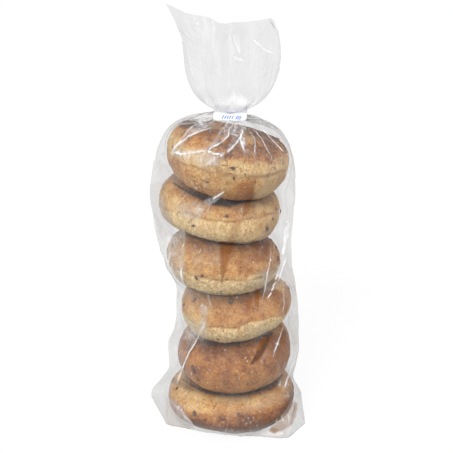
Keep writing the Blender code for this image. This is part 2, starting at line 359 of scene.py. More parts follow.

# Bottom one first. Middle, radius and half height in millimetres, leans and turns in degrees. thick is
# how much thicker the right side and the back are. round is the form of the upper and the lower rim: 2
# is round, more is squarer and less is sharper. seam is where the crease runs on the front, in pixels
# of the photo. tone is how dark the crust is baked from the base, -1, to the top, 1, and sunny is the
# side painted paler, as painted light, and by how much. pale is the light crinkled band over the seam or
# under it: from, to, strength. mottled is how uneven the browning is, and cracks how dark the fine cracks
# are.
bagels = (
    dict(name="bagelBottom", x=4.6, z=19.9, radius=59.0, half=20.1, leanFront=0, leanRight=0,
         thick=(0.05, 0.10), round=(1.72, 1.95), seed=1, turn=20, seamDepth=0.35,
         seam=((175, 408), (200, 418), (223, 420.5), (245, 419), (270, 412), (290, 402)),
         pale=(0.15, 0.45, 0.3), sunny=(200, 0.14), cracks=0.35, mottled=0.8,
         tone=((-1, 1), (-0.1, 0.98), (0.2, 0.92), (0.4, 0.82), (0.55, 0.70), (0.68, 0.52), (0.78, 0.38),
               (0.88, 0.38), (0.95, 0.62), (1, 0.88))),
    dict(name="bagelSecond", x=7.3, z=64.3, radius=52.0, half=23.7, leanFront=4.7, leanRight=-5.1,
         thick=(0.07, -0.01), round=(2.08, 2.0), seed=2, turn=75, seamDepth=0.0,
         seam=((180, 352), (234, 380), (290, 352)),
         pale=(-1.2, -0.7, 0.2), sunny=(250, 0.05), cracks=0.1, mottled=0.45,
         tone=((-1, 0.62), (-0.55, 0.70), (0, 0.82), (0.6, 0.86), (1, 0.9))),
    dict(name="bagelThird", x=8.7, z=111.9, radius=49.6, half=21.7, leanFront=3.3, leanRight=-5.5,
         thick=(-0.17, -0.02), round=(1.74, 1.97), seed=3, turn=140, seamDepth=0.5,
         seam=((183, 310), (190, 320), (197, 326), (215, 326.5), (240, 326), (250, 322), (260, 321),
               (272, 318), (284, 314)),
         pale=(-1.3, 0.0, 1.0), sunny=(215, 0.12), cracks=0.2, mottled=0.6,
         tone=((-1, 0.3), (-0.2, 0.46), (0.1, 0.60), (0.5, 0.66), (1, 0.78))),
    dict(name="bagelFourth", x=-2.7, z=156.1, radius=50.5, half=21.9, leanFront=-0.6, leanRight=4.7,
         thick=(-0.07, -0.11), round=(1.74, 1.9), seed=4, turn=200, seamDepth=0.9,
         seam=((168, 262), (184, 272), (200, 278), (213, 279.5), (235, 280), (255, 279.5), (264, 278),
               (277, 270)),
         pale=(-1.3, 0.0, 0.95), sunny=(270, 0.1), cracks=0.35, mottled=0.8,
         tone=((-1, 0.1), (-0.3, 0.25), (0.1, 0.56), (0.5, 0.62), (1, 0.8))),
    dict(name="bagelFifth", x=-6.5, z=202.6, radius=53.0, half=21.6, leanFront=0, leanRight=9.7,
         thick=(0.04, 0.18), round=(2.05, 2.16), seed=5, turn=265, seamDepth=0.7,
         seam=((162, 207), (180, 213), (192, 215), (203, 218.5), (215, 221), (235, 220), (258, 217.5),
               (272, 214)),
         pale=(-1.3, 0.0, 0.65), sunny=(200, 0.08), cracks=0.3, mottled=0.8,
         tone=((-1, 0.34), (-0.4, 0.28), (0, 0.34), (0.4, 0.44), (0.8, 0.62), (1, 0.75))),
    dict(name="bagelTop", x=0.7, z=248.1, radius=53.3, half=22.2, leanFront=1.8, leanRight=11.2,
         thick=(0.0, -0.22), round=(2.3, 2.11), seed=6, turn=320, seamDepth=0.9,
         seam=((170, 155), (185, 163), (200, 169), (218, 173), (245, 176.5), (262, 176), (279, 173)),
         pale=(-0.05, 0.55, 0.5), sunny=(190, 0.12), cracks=0.8, mottled=1.0,
         tone=((-1, 0.66), (-0.5, 0.52), (0, 0.44), (0.4, 0.38), (0.62, 0.50), (0.80, 0.84), (1, 0.92))),
)

# Parts that are baked darker or paler than their level: corners in the photo, change, and over how many
# pixels the part fades out at its edge.
bakedParts = (
    (((163, 126), (184, 128), (198, 133), (210, 141), (226, 150), (222, 155), (205, 153), (170, 157)),
     -0.24, 4),
    (((207, 124), (226, 122), (230, 128), (226, 138), (213, 138), (205, 131)), -0.28, 3),
    (((241, 132), (250, 133), (253, 144), (245, 143)), -0.40, 3),
    (((218, 161), (252, 158), (252, 180), (228, 188), (219, 176)), -0.14, 2),
    (((262, 157), (288, 152), (287, 172), (262, 180)), -0.16, 4),
    (((258, 178), (282, 176), (276, 192), (258, 197)), -0.24, 4),
    (((238, 184), (256, 182), (254, 200), (238, 201)), 0.12, 4),
    (((255, 126), (280, 136), (288, 146), (284, 156), (262, 152)), -0.12, 4),
    (((262, 243), (290, 240), (289, 268), (276, 280), (264, 278)), 0.06, 5),
    (((262, 402), (300, 390), (297, 412), (276, 426), (258, 422)), 0.04, 5),
    (((254, 402), (280, 400), (280, 414), (256, 418)), -0.09, 4),
    (((164, 384), (184, 386), (184, 398), (168, 402)), -0.12, 5),
    (((256, 192), (278, 188), (276, 208), (258, 210)), -0.30, 5),
    (((248, 277), (266, 275), (284, 268), (284, 288), (250, 292)), -0.5, 3),
    (((252, 324), (284, 315), (284, 330), (252, 336)), -0.32, 4),
    (((186, 290), (222, 295), (226, 310), (190, 316)), -0.16, 5),
    (((180, 404), (214, 408), (214, 419), (186, 416)), -0.26, 5),
    (((176, 212), (198, 218), (196, 234), (176, 226)), -0.22, 5),
    (((157, 194), (174, 198), (178, 222), (160, 216)), -0.16, 5),
    (((184, 318), (204, 324), (206, 338), (188, 338)), -0.35, 5),
    (((178, 121), (202, 119), (204, 125), (182, 128)), 0.30, 3),
    (((168, 232), (186, 234), (184, 260), (170, 260)), -0.25, 4),
    (((196, 246), (216, 248), (214, 264), (194, 262)), -0.10, 5),
    (((206, 126), (226, 128), (222, 140), (208, 139)), 0.22, 3),
    (((163, 140), (184, 146), (182, 164), (165, 164)), 0.20, 5),
    (((240, 256), (254, 256), (254, 274), (240, 274)), 0.14, 4),
    (((190, 416), (215, 417), (262, 416), (262, 431), (205, 430)), 0.10, 4),
    (((167, 404), (186, 410), (205, 424), (185, 428)), 0.12, 4),
)

# Painted shadows in the gaps where two bagels meet, and a few dark marks on the crust: path in the photo,
# how far the dark reaches in pixels, and how strong.
gapShadowsAndDarkMarks = (
    (((174, 183), (182, 188.5), (196, 195), (208, 199.5), (222, 202.5), (238, 202), (256, 200)), 2.4, 0.85),
    (((202, 198.5), (215, 202.5), (228, 204), (242, 202.5)), 3.2, 0.9),
    (((182, 233), (190, 236), (206, 241), (222, 243.5), (240, 244), (262, 241)), 1.5, 0.6),
    (((188, 287), (200, 291.5), (215, 294.5), (236, 295), (248, 293)), 1.4, 0.5),
    (((269, 336), (266, 343), (261, 352), (252, 363)), 2.6, 0.62),
    (((262, 336), (268, 334.5), (273.5, 332.5)), 1.8, 0.95),
    (((166, 377), (174, 381), (184, 386), (194, 390)), 3.2, 0.45),
    (((292.5, 394), (294.5, 398), (293, 403)), 1.5, 0.8),
    (((198, 339), (204, 342), (214, 344.5), (230, 344.5), (244, 342), (256, 338)), 1.6, 0.55),
    (((182, 379), (190, 384.5), (202, 390), (215, 393.5), (232, 395), (248, 393.5), (264, 388),
      (276, 381.5)), 1.9, 0.75),
)

# Where the film clings to a crust it looks dark and wet: corners in the photo, strength, soft edge.
clingingParts = (
    (((220, 242), (234, 242), (230, 254), (226, 268), (222, 282)), 0.75, 1.5),
    (((252, 242), (268, 242), (264, 260), (257, 262)), 0.65, 2.5),
    (((264, 335), (272.5, 334), (270, 342), (258, 361), (251, 364)), 1.0, 1.0),
    (((226, 191), (238, 183), (250, 176), (251, 186), (249, 201), (228, 201)), 0.32, 3.5),
    (((258, 290), (276, 290), (276, 306), (258, 308)), 0.15, 4),
    (((256, 289), (260, 289), (258, 306), (255, 306)), 0.7, 1.2),
    (((247, 300), (251, 300), (250, 309), (247, 309)), 0.5, 1.2),
    (((249, 188), (254, 188), (247, 214), (243, 216)), 0.55, 1.5),
    (((216, 168), (225, 172), (246, 184), (228, 194)), 0.32, 3),
    (((233, 222), (240, 222), (234, 243), (229, 240)), 0.35, 2),
    (((240, 256), (252, 258), (252, 272), (242, 271)), 0.28, 4),
    (((255, 262), (264, 262), (262, 278), (256, 278)), 0.2, 2),
    (((268, 243), (290, 240), (289, 258), (278, 262), (267, 260)), 0.25, 5),
    (((276, 290), (299, 290), (298, 314), (278, 312)), 0.22, 5),
    (((274, 336), (299, 338), (297, 358), (272, 358)), 0.46, 5),
    (((270, 360), (296, 360), (290, 376)), 0.2, 5),
    (((262, 400), (300, 388), (297, 412), (276, 426), (255, 424)), 0.15, 5),
    (((246, 177), (284, 175), (276, 192), (252, 197)), 0.20, 5),
    (((255, 222), (276, 220), (272, 238)), 0.26, 4),
    (((284, 399), (296, 396), (293, 404), (289, 412)), 0.4, 2),
)

# Raisins that show: pixel in the photo, length and width in mm, how many degrees its length is turned
# clockwise from level as the photo shows it, and how far it stands out of the crust.
raisins = (
    ((231, 301), 5.6, 3.8, -62, 0.4), ((194.5, 299.7), 5.2, 2.0, -30, 0.3), ((267, 229), 4.6, 3.4, 90, 0.4),
    ((227, 216), 3.0, 2.6, 0, 0.35), ((193.5, 370), 9.0, 4.2, 50, 0.18), ((198.5, 380), 3.0, 2.0, 20, 0.35),
    ((194.5, 413.5), 5.0, 3.6, 60, 0.25), ((223, 419.5), 5.0, 1.6, 3, 0.3), ((205, 420), 2.8, 1.2, 0, 0.3),
    ((202.3, 276), 3.0, 2.0, 70, 0.4), ((196, 278), 4.2, 1.8, 60, 0.35), ((276, 247), 3.8, 2.8, 80, 0.4),
    ((233, 168.5), 4.6, 2.8, 25, 0.06), ((234, 178.5), 2.6, 1.8, 80, 0.3), ((239, 413.5), 2.6, 1.6, 0, 0.3),
    ((293.5, 398.5), 4.6, 2.6, 100, 0.4), ((273, 219), 2.6, 2.0, 70, 0.2), ((193, 226), 3.2, 1.8, -25, 0.2),
    ((207, 182), 3.0, 1.2, 15, 0.2), ((218, 339.5), 2.4, 2.0, 0, 0.3), ((212, 341), 2.6, 1.4, 0, 0.25),
    ((253, 363), 2.6, 1.8, 0, 0.3),
)

# Thin dark cracks and lines in the crusts, along pixels of the photo, and how dark.
crustMarks = (
    (((192, 264), (193, 259), (197, 255), (202, 252)), 0.6), (((193, 268), (198, 270)), 0.5),
    (((197, 279), (201, 282), (207, 282.5), (212, 280)), 0.6), (((210, 275), (214, 276)), 0.5),
    (((216.5, 280), (217.5, 284)), 0.7), (((214, 279.3), (226, 279.6), (240, 279.8)), 0.4),
    (((186, 166), (192, 168.5), (197, 167)), 0.5), (((196, 171), (201, 168.5), (205, 171)), 0.5),
    (((205, 171.5), (209, 174), (213, 173)), 0.6), (((217, 165), (218.5, 170), (222, 174), (227, 176)), 0.7),
    (((190, 176), (193, 180), (197, 181)), 0.5), (((203, 180.5), (207, 182), (209, 180)), 0.6),
    (((240, 175.5), (248, 176.8), (262, 176)), 0.6), (((180, 157), (183, 160)), 0.5),
    (((178, 213), (177.5, 222)), 0.4), (((258, 347), (262, 349)), 0.4), (((215, 380), (222, 381.5)), 0.5),
    (((190, 397.5), (194, 400.5), (198, 400)), 0.4), (((203, 407), (207, 407)), 0.5),
    (((200, 326), (206, 325.5)), 0.5), (((215, 325.5), (226, 326.5)), 0.4),
    (((246, 322), (254, 321.5)), 0.4), (((270, 321), (277, 320)), 0.5),
    (((203, 190), (207, 188), (210, 189)), 0.4),
    (((183, 213.8), (190, 214.3), (197, 216), (203, 218.5)), 0.5), (((256, 218.5), (266, 217)), 0.4),
    (((215, 166), (219, 162), (224, 159)), 0.5), (((215, 166), (217, 171), (221, 174)), 0.6),
    (((253, 160), (254.5, 166), (253, 172)), 0.4), (((279, 173), (280, 178), (277, 183)), 0.5),
    (((227, 176), (234, 177.5), (240, 175.5)), 0.6), (((262, 176), (271, 174.5), (279, 173)), 0.5),
    (((229, 165), (231, 164), (236, 165), (239, 168), (237, 171), (232, 171.5), (229, 169), (229, 165)),
     0.5),
    (((265, 336), (268, 334.5), (272, 334)), 0.9), (((250, 364), (254, 362)), 0.8),
    (((272, 335), (269, 344), (262, 356)), 0.45), (((252, 189), (250, 198), (247, 208)), 0.4),
    (((220, 243), (222, 252), (222.5, 262), (221, 274)), 0.45),
    (((217, 213), (216.5, 224), (215, 233)), 0.35), (((216.5, 279), (216, 286), (218, 290)), 0.35),
    (((240, 280), (250, 279.6), (262, 278)), 0.4), (((204, 251), (197, 256), (193, 263), (194, 270)), 0.3),
)


def crustMaterial(bagel):
    material, tree, shader = newMaterial("crust_" + bagel["name"])
    place = objectPlace(tree)
    seed = bagel["seed"]

    def spots(size, detail=3.0, rough=0.55, stretch=(1, 1, 1)):
        moved = wire(tree, "ShaderNodeMapping", {"Vector": place, "Location": (seed * 0.31, seed * 0.17, 0),
                                                 "Scale": stretch})
        return wire(tree, "ShaderNodeTexNoise", {"Vector": moved.outputs[0], "Scale": 1 / size,
                                                 "Detail": detail, "Roughness": rough}).outputs[0]

    def flakes(where, feature, scale, span, patchSize, patchSpan, most):  # cells that show in patches
        cells = wire(tree, "ShaderNodeTexVoronoi", {"Vector": where, "Scale": scale}, feature=feature)
        return calculate(tree, "MULTIPLY", stepBetween(tree, cells.outputs["Distance"], *span, 1, 0),
                         stepBetween(tree, spots(patchSize, 2), *patchSpan, 0, most))

    names = ("baked", "seam", "band", "cling", "stain", "shade", "gap")
    browning, seam, band, cling, stain, shade, gap = (painted(tree, name) for name in names)
    patchy = spots(16 * mm, 3)
    mottled = spots(4.0 * mm, 6, 0.7)
    grainy = spots(1.3 * mm, 3, 0.7)

    uneven = bagel["mottled"]
    for texture, most in ((patchy, 0.13), (mottled, 0.11 * uneven), (grainy, 0.16 * uneven)):
        browning = calculate(tree, "ADD", browning, stepBetween(tree, texture, 0.3, 0.7, -most, most))
    ramp = wire(tree, "ShaderNodeValToRGB", {"Fac": browning})
    stops = ((0.0, (0.78, 0.56, 0.28)), (0.3, (0.68, 0.42, 0.17)), (0.55, (0.56, 0.275, 0.09)),
             (0.8, (0.38, 0.155, 0.052)), (1.0, (0.17, 0.06, 0.025)))
    ramp.color_ramp.elements[0].color = (*stops[0][1], 1)
    ramp.color_ramp.elements[1].color = (*stops[-1][1], 1)
    for position, stop in stops[1:-1]:
        ramp.color_ramp.elements.new(position).color = (*stop, 1)

    # the pale, crinkled band by the seam
    wrinkled = spots(2.2 * mm, 3, 0.6, (1, 1, 0.45))
    paleShare = calculate(tree, "MULTIPLY", band, stepBetween(tree, mottled, 0.25, 0.6, 0.35, 1.0))
    paleColour = blendColours(tree, stepBetween(tree, wrinkled, 0.36, 0.62),
                              (0.70, 0.46, 0.19), (1.0, 0.83, 0.50))

    # fine dark cracks between flakes of crust, brown specks and pale flecks
    bent = wire(tree, "ShaderNodeTexNoise", {"Vector": place, "Scale": 160, "Detail": 2.0}).outputs["Color"]
    crooked = wire(tree, "ShaderNodeVectorMath", {0: bent, 1: (0.012, 0.012, 0.012), 2: place},
                   operation="MULTIPLY_ADD").outputs[0]
    cracks = flakes(crooked, "DISTANCE_TO_EDGE", 130, (0.02, 0.09), 14 * mm, (0.45, 0.62), bagel["cracks"])
    specks = flakes(place, "F1", 300, (0.15, 0.3), 8 * mm, (0.5, 0.6), 0.75)
    flecks = flakes(place, "F1", 210, (0.10, 0.22), 12 * mm, (0.5, 0.62), 0.6)
    colour = ramp.outputs["Color"]
    for share, layer in ((paleShare, paleColour), (cracks, (0.20, 0.085, 0.035)),
                         (specks, (0.15, 0.06, 0.03)), (flecks, (0.80, 0.60, 0.38))):
        colour = blendColours(tree, share, colour, layer)

    # a fine grain all over
    dusty = stepBetween(tree, spots(1.1 * mm, 2, 0.6), 0.32, 0.68)
    grain = blendColours(tree, dusty, (0.80, 0.76, 0.71), (1.15, 1.15, 1.13))
    colour = blendColours(tree, 1.0, colour, grain, "MULTIPLY")

    # cinnamon in the crease, a stain round each raisin, painted shade near the next bagel, the dark wet look
    # where the film clings, and painted shadows in the gaps with a few dark marks
    wet = blendColours(tree, stepBetween(tree, mottled, 0.3, 0.7),
                       (0.16, 0.046, 0.008), (0.32, 0.115, 0.022))
    for share, layer, how in ((calculate(tree, "MULTIPLY", seam, 0.7), (0.17, 0.07, 0.03), "MIX"),
                              (calculate(tree, "MULTIPLY", stain, 0.6), (0.22, 0.10, 0.05), "MIX"),
                              # painted shade near the next bagel, multiplied into the crust colour
                              (shade, (0.29, 0.26, 0.29), "MULTIPLY"),
                              # painted shadows in the gaps, with a few dark marks, mixed towards black
                              (cling, wet, "MIX"), (gap, (0.012, 0.012, 0.016), "MIX")):
        colour = blendColours(tree, share, colour, layer, how)

    tree.links.new(colour, shader.inputs["Base Color"])
    tree.links.new(stepBetween(tree, mottled, 0.3, 0.7, 0.42, 0.62), shader.inputs["Roughness"])
    shader.inputs["Subsurface Weight"].default_value = 0.06
    shader.inputs["Subsurface Radius"].default_value = (0.004, 0.002, 0.001)
    lumps = bumps(tree, mottled, 0.5, 1.0)
    tree.links.new(bumps(tree, grainy, 0.8, 0.5, Normal=lumps), shader.inputs["Normal"])
    return material


def displace(thing, name, size, strength, depth):
    texture = bpy.data.textures.new(name, "CLOUDS")
    texture.noise_scale = size
    texture.noise_depth = depth
    modifier = thing.modifiers.new(name, "DISPLACE")
    modifier.texture = texture
    modifier.texture_coords = "LOCAL"
    modifier.strength = strength
    modifier.mid_level = 0.5
    pick(thing)
    bpy.ops.object.modifier_apply(modifier=name)


def shapeDough(bagel, points, ringMiddle):
    # Reads each point's place on the plain ring, and gives it the form of a baked bagel.
    around = np.arctan2(points[:, 1], points[:, 0])
    section = np.arctan2(points[:, 2], np.hypot(points[:, 0], points[:, 1]) - ringMiddle)
    radius, half = bagel["radius"] * mm, bagel["half"] * mm
    turned = around + math.radians(bagel["turn"])
    slow = np.stack([np.cos(turned), np.sin(turned), np.zeros_like(turned)], axis=1)
    uneven = wobble(slow, 0.9, bagel["seed"])
    moreRight, moreBack = bagel["thick"]
    taller = 1 + moreRight * np.cos(around) + moreBack * np.sin(around)
    width = (radius - dough["hole"]) / 2
    power = 2 / np.where(section > 0, *bagel["round"])
    across = np.sign(np.cos(section)) * np.abs(np.cos(section)) ** power
    upward = np.sign(np.sin(section)) * np.abs(np.sin(section)) ** power
    across *= 1 + uneven * np.where(across < 0, dough["holeWobble"], dough["rimWobble"] * (across > 0))
    reach = ringMiddle + width * across
    flat = dough["flatBase"]
    upward = np.where(upward < -flat, -flat + (upward + flat) * dough["baseKeeps"], upward)
    z = half * (upward + dough["raised"]) * taller * dough["taller"]
    return np.stack([reach * np.cos(around), reach * np.sin(around), z], axis=1), around


def treeOf(things):
    points, faces = [], []
    for thing in things:
        start = len(points)
        points += [tuple(p) for p in getPoints(thing)]
        faces += [[start + index for index in face.vertices] for face in thing.data.polygons]
    return BVHTree.FromPolygons(points, faces)


def standing(bagel):  # where a bagel stands in the stack, and how it leans
    place = Matrix.Translation(Vector((bagel["x"], 0, bagel["z"])) * mm)
    sideways = Matrix.Rotation(math.radians(bagel["leanRight"]), 4, "Y")
    forwards = Matrix.Rotation(math.radians(bagel["leanFront"]), 4, "X")
    return place @ sideways @ forwards


def seamHeight(bagel, made, around):  # follows the crease in the photo, and wanders on round the back
    half = bagel["half"] * mm
    tree = treeOf([made])
    back = standing(bagel).inverted()
    known = []
    for pixel in bagel["seam"]:
        start, way = photoRay(pixel)
        hit = tree.ray_cast(back @ start, (back.to_3x3() @ way).normalized())[0]
        if hit:
            known.append((math.atan2(hit.y, hit.x), hit.z / half))
    known.sort()
    angles, heights = zip(*known)
    turned = around + math.radians(bagel["turn"])
    wander = 0.03 * np.sin(5 * turned + 1) + 0.02 * np.sin(13 * turned)
    return np.interp(around, angles, heights, period=2 * math.pi) + wander


def makeBagel(bagel):
    radius, half = bagel["radius"] * mm, bagel["half"] * mm
    ringMiddle = (radius + dough["hole"]) / 2
    deselectAll()
    bpy.ops.mesh.primitive_torus_add(major_radius=ringMiddle, minor_radius=(radius - dough["hole"]) / 2,
                                     major_segments=dough["around"], minor_segments=dough["across"])
    made = bpy.context.object
    made.name = bagel["name"]
    shaped, around = shapeDough(bagel, getPoints(made), ringMiddle)
    setPoints(made, shaped)
    seed = bagel["seed"]
    away = Vector((seed * 0.4, seed * 0.23, seed * 0.31))  # another part of the textures for each
    made.location = away
    bpy.ops.object.transform_apply(location=True)
    for lumps in dough["lumps"]:
        displace(made, *lumps)
    made.location = -away
    bpy.ops.object.transform_apply(location=True)

    points = getPoints(made)
    normals = getNormals(made)
    height = points[:, 2] / half
    ring = np.stack([np.cos(around), np.sin(around), 0 * around], 1)
    rim = smooth((np.hypot(points[:, 0], points[:, 1]) / radius - dough["rim"]) / 0.16)
    seamAt = seamHeight(bagel, made, around)
    present = smooth(0.8 + 1.3 * wobble(ring, 0.35, seed + 40)) * bagel["seamDepth"]
    seam = bell(height, seamAt, dough["seamWidth"]) * rim * present
    under = smooth((seamAt - height) / 0.06) * rim * smooth((height + 0.95) / 0.3)
    paleFrom, paleTo, paleStrength = bagel["pale"]
    ragged = 0.10 * wobble(points, 6 * mm, seed + 70) + 0.05 * wobble(points, 2.5 * mm, seed + 71)
    above = height - seamAt
    band = smooth((paleTo + ragged - above) / 0.1) * smooth((above + ragged - paleFrom) / 0.12) * rim
    band *= paleStrength * (0.8 + 0.5 * wobble(ring, 0.5, seed + 80))
    ripple = np.abs(wobble(np.stack([ring[:, 0], ring[:, 1], height * 0.35], 1), 0.05, seed + 60))
    raised = dough["wrinkle"] * (0.35 - ripple) * band * rim
    raised -= dough["seamCut"] * seam + dough["overhang"] * under * bagel["seamDepth"]
    moved = points + normals * raised[:, None]
    setPoints(made, moved)

    made.matrix_world = standing(bagel)
    bpy.ops.object.transform_apply(location=True, rotation=True)
    levels, tones = zip(*bagel["tone"])
    # the sunny side is painted paler: painted light on the crust
    side, paler = bagel["sunny"]
    baked = np.interp(height, levels, tones) - paler * np.cos(around - math.radians(side))
    pixels = toPhoto(getPoints(made))
    front = facesCamera(getPoints(made), getNormals(made)) > 0
    ragged = raggedEdge(moved, 5 * mm, seed + 90)
    cling = front * np.max(list(partsOn(clingingParts, pixels, ragged, perEdge=0.6)), axis=0)
    baked += front * sum(partsOn(bakedParts, pixels, ragged, fixed=3.5))
    for path, strength in crustMarks:
        seam = np.maximum(seam, strength * ridge(pathDistance(pixels, path)[0], 1.1) * front)
    for name, values in (("baked", baked), ("seam", seam), ("band", np.clip(band, 0, 1)), ("cling", cling)):
        storeAttribute(made, name, values)
    finishPiece(made, crustMaterial(bagel))
    return made


def restOn(upper, lower):  # an upper bagel is pressed flat where it lies on the lower one
    tree = treeOf([lower])
    points = getPoints(upper)
    middle = points[:, 2].mean()
    for index in np.nonzero(points[:, 2] < middle)[0]:
        point = points[index]
        hit = tree.ray_cast(Vector(point) + Vector((0, 0, dough["castFrom"])), Vector((0, 0, -1)))[0]
        if hit:
            points[index][2] = max(point[2], hit.z + dough["apart"])
    setPoints(upper, points)


def shadeContacts(bread, others):  # soft crust with painted shade where it lies close to the next bagel
    points, normals = getPoints(bread), getNormals(bread)
    shade, gaps = np.zeros(len(points)), np.zeros(len(points))
    for other, side in others:
        tree = treeOf([other])
        for index in np.nonzero(normals[:, 2] * side > 0.1)[0]:
            gap = tree.ray_cast(Vector(points[index]), Vector((0, 0, side)))[3]
            if gap is not None:
                reach = dough["shadeBelow"] if side > 0 else dough["shadeAbove"]
                shade[index] = math.exp(-(gap / reach) ** 1.5)
    pixels, front = toPhoto(points), facesCamera(points, normals) > 0
    # painted shadows along the gaps between bagels, and a few dark marks, mixed towards black in the crust
    for path, reach, strength in gapShadowsAndDarkMarks:
        distance, share = pathDistance(pixels, path)
        thinned = 0.35 + 0.65 * smooth(share / 0.3) * smooth((1 - share) / 0.3)  # at both ends
        gaps = np.maximum(gaps, strength * np.exp(-(distance / reach / thinned) ** 4) * front)
    storeAttribute(bread, "shade", shade)
    storeAttribute(bread, "gap", gaps)


breads = [makeBagel(bagel) for bagel in bagels]
for lower, upper in zip(breads, breads[1:]):
    restOn(upper, lower)
for bread, lower, upper in zip(breads, [None] + breads, breads[1:] + [None]):
    shadeContacts(bread, [(other, side) for other, side in ((lower, -1), (upper, 1)) if other])
print("bagels baked")


# Raisins: one is modelled, and its copies are turned, sized and sunk into the crusts

raisinForm = dict(
    wrinkle=0.55, flatness=0.7,
    dent=0.25, dentRim=0.5,                # how deep the crust dips round each, and how far round it, in mm
    more=7, sizes=(2.4, 6.0),              # others on each bagel: how many, and their length in mm
    angles=(-20, 200), drops=(-0.5, 0.8),  # where they lie: degrees from +X, and shares of the half height
    widths=(0.5, 0.9), proud=0.3, castFrom=0.15,
)


def raisinMaterial():
    material, tree, shader = newMaterial("raisinSkin")
    folds = clouds(tree, objectPlace(tree), 900, 3.0)
    colour = blendColours(tree, stepBetween(tree, folds, 0.35, 0.65),
                          (0.035, 0.022, 0.024), (0.19, 0.105, 0.080))
    tree.links.new(colour, shader.inputs["Base Color"])
    tree.links.new(stepBetween(tree, folds, 0.3, 0.7, 0.28, 0.5), shader.inputs["Roughness"])
    tree.links.new(bumps(tree, folds, 0.6, 0.3), shader.inputs["Normal"])
    return material


def lyingOn(normal, turn):  # flat on a surface, its length turned clockwise from level in the photo
    level = Vector(cameraAxes()[0])
    along = (level - normal * level.dot(normal)).normalized()
    facing = Matrix((along, normal.cross(along), normal)).transposed().to_4x4()
    return facing @ Matrix.Rotation(math.radians(-turn), 4, "Z")


def raisinPlaces():
    random.seed(5)
    places = []
    crusts = treeOf(breads)
    for pixel, *form in raisins:
        hit, normal = crusts.ray_cast(*photoRay(pixel))[:2]
        if hit:
            places.append((hit, normal, *form))
    for bagel in bagels:  # more of them on the sides, the back and the tops
        for _ in range(raisinForm["more"]):
            angle, drop = random.uniform(*raisinForm["angles"]), random.uniform(*raisinForm["drops"])
            way = Vector((math.cos(math.radians(angle)), math.sin(math.radians(angle)), 0))
            middle = Vector((bagel["x"], 0, bagel["z"] + drop * bagel["half"])) * mm
            hit, normal = crusts.ray_cast(middle + way * raisinForm["castFrom"], -way)[:2]
            size = random.uniform(*raisinForm["sizes"])
            if hit:
                places.append((hit, normal, size, size * random.uniform(*raisinForm["widths"]),
                               random.uniform(0, 180), raisinForm["proud"]))
    return places


def addRaisins():
    deselectAll()
    bpy.ops.mesh.primitive_ico_sphere_add(subdivisions=4, radius=1)
    first = bpy.context.object
    points = getPoints(first)
    ridges = np.abs(wobble(points, 0.55, 3)) + 0.5 * np.abs(wobble(points, 0.28, 4))
    setPoints(first, points * (1 + raisinForm["wrinkle"] * (ridges - 0.35))[:, None])
    places = raisinPlaces()
    copies = []
    for hit, normal, width, tall, turn, proud in places:
        copy = first.copy()
        copy.data = first.data.copy()
        bpy.context.scene.collection.objects.link(copy)
        thick = min(width, tall) * raisinForm["flatness"]
        sink = normal * thick * mm * 0.45 * (2 * proud - 1)
        size = Matrix.Diagonal((width * mm / 2, tall * mm / 2, thick * mm / 2, 1))
        copy.matrix_world = Matrix.Translation(hit + sink) @ lyingOn(normal, turn) @ size
        copies.append(copy)
    bpy.data.objects.remove(first)
    for bread in breads:  # a small dent and a dark stain in the crust round each one
        points, normals = getPoints(bread), getNormals(bread)
        stain = np.zeros(len(points))
        for hit, normal, width, tall, turn, proud in places:
            reach = (width / 2 + raisinForm["dentRim"], tall / 2 + raisinForm["dentRim"], 2)
            away = (points - np.array(hit)) @ np.array(lyingOn(normal, turn).to_3x3()) / mm
            stain = np.maximum(stain, smooth((1.3 - np.linalg.norm(away / reach, axis=1)) / 0.6))
        setPoints(bread, points - normals * (raisinForm["dent"] * mm * stain)[:, None])
        storeAttribute(bread, "stain", stain)
    made = joinAll(copies, "raisins")
    finishPiece(made, raisinMaterial())
    return made


raisinPiece = addRaisins()
print("raisins set in the crusts")


# Film: a front and a back sheet that meet at the side seams, drawn in round the bagels and gathered
# at the neck

film = dict(
    front=288, back=150,     # faces across the front sheet and the back sheet, which meet at the side seams
    leftSeam=157.5, rightSeam=-16.9,  # where the seams run, in degrees from +X
    rows=dict(base=6, body=228, dome=96, neck=8),
    shoulder=236 * mm,
    neckX=3.4 * mm, neckRadius=4 * mm, neckBottom=283.5 * mm, neckTop=291.4 * mm, neckLean=22,
    clearance=0.9 * mm, leastClearance=0.3 * mm,  # the film's distance from the crusts
    haze=0.085,              # how milky one layer of film is
    middling=55 * mm,        # its usual distance from the middle of the stack
    outside=130 * mm,        # and a distance that lies outside every crust
    lowest=0.3 * mm, base=0.35 * mm, firstRing=0.6 * mm,  # heights above the ground
    domeRows=1.35,           # above 1 puts more rows near the neck
    turning=6,               # how late the last rows turn to face the leaning neck
    neckWhite=0.37, mirrorWhite=0.5, paintedGlintWhite=0.4, clingClear=0.085,
    crumple=0.45,
    leftTuck=0.055,          # how much closer the film lies to the top bagel's left shoulder
    rightTuck=0.10,          # and how much lower it lies beside the neck on the right
)

# Folds, glints (short streaks of painted highlight) and pleats at random places. Their length, reach
# and distance below the neck are in metres, the spread of their tilt in degrees, and widths and heights in
# mm. line is how wide the white line along each one is.
looseFolds = dict(count=170, below=0.04, length=(0.02, 0.10), tilt=24, width=(2.6, 7.0), height=(0.25, 1.1),
                  skew=(0.35, 2.2), line=0.9, whiteness=(0.02, 0.16))
glints = dict(count=170, below=0.03, length=(0.002, 0.008), tilt=25, line=0.7, whiteness=(0.1, 0.45))
pleats = dict(count=23, uneven=0.3, reach=(0.035, 0.075), drift=(-0.35, 0.35), height=(1.8, 3.6),
              skew=(0.4, 0.6, 1.6, 2.4), width=3.2, widthShare=0.26, starts=4.6, grows=9, line=0.8,
              whiteness=0.30)

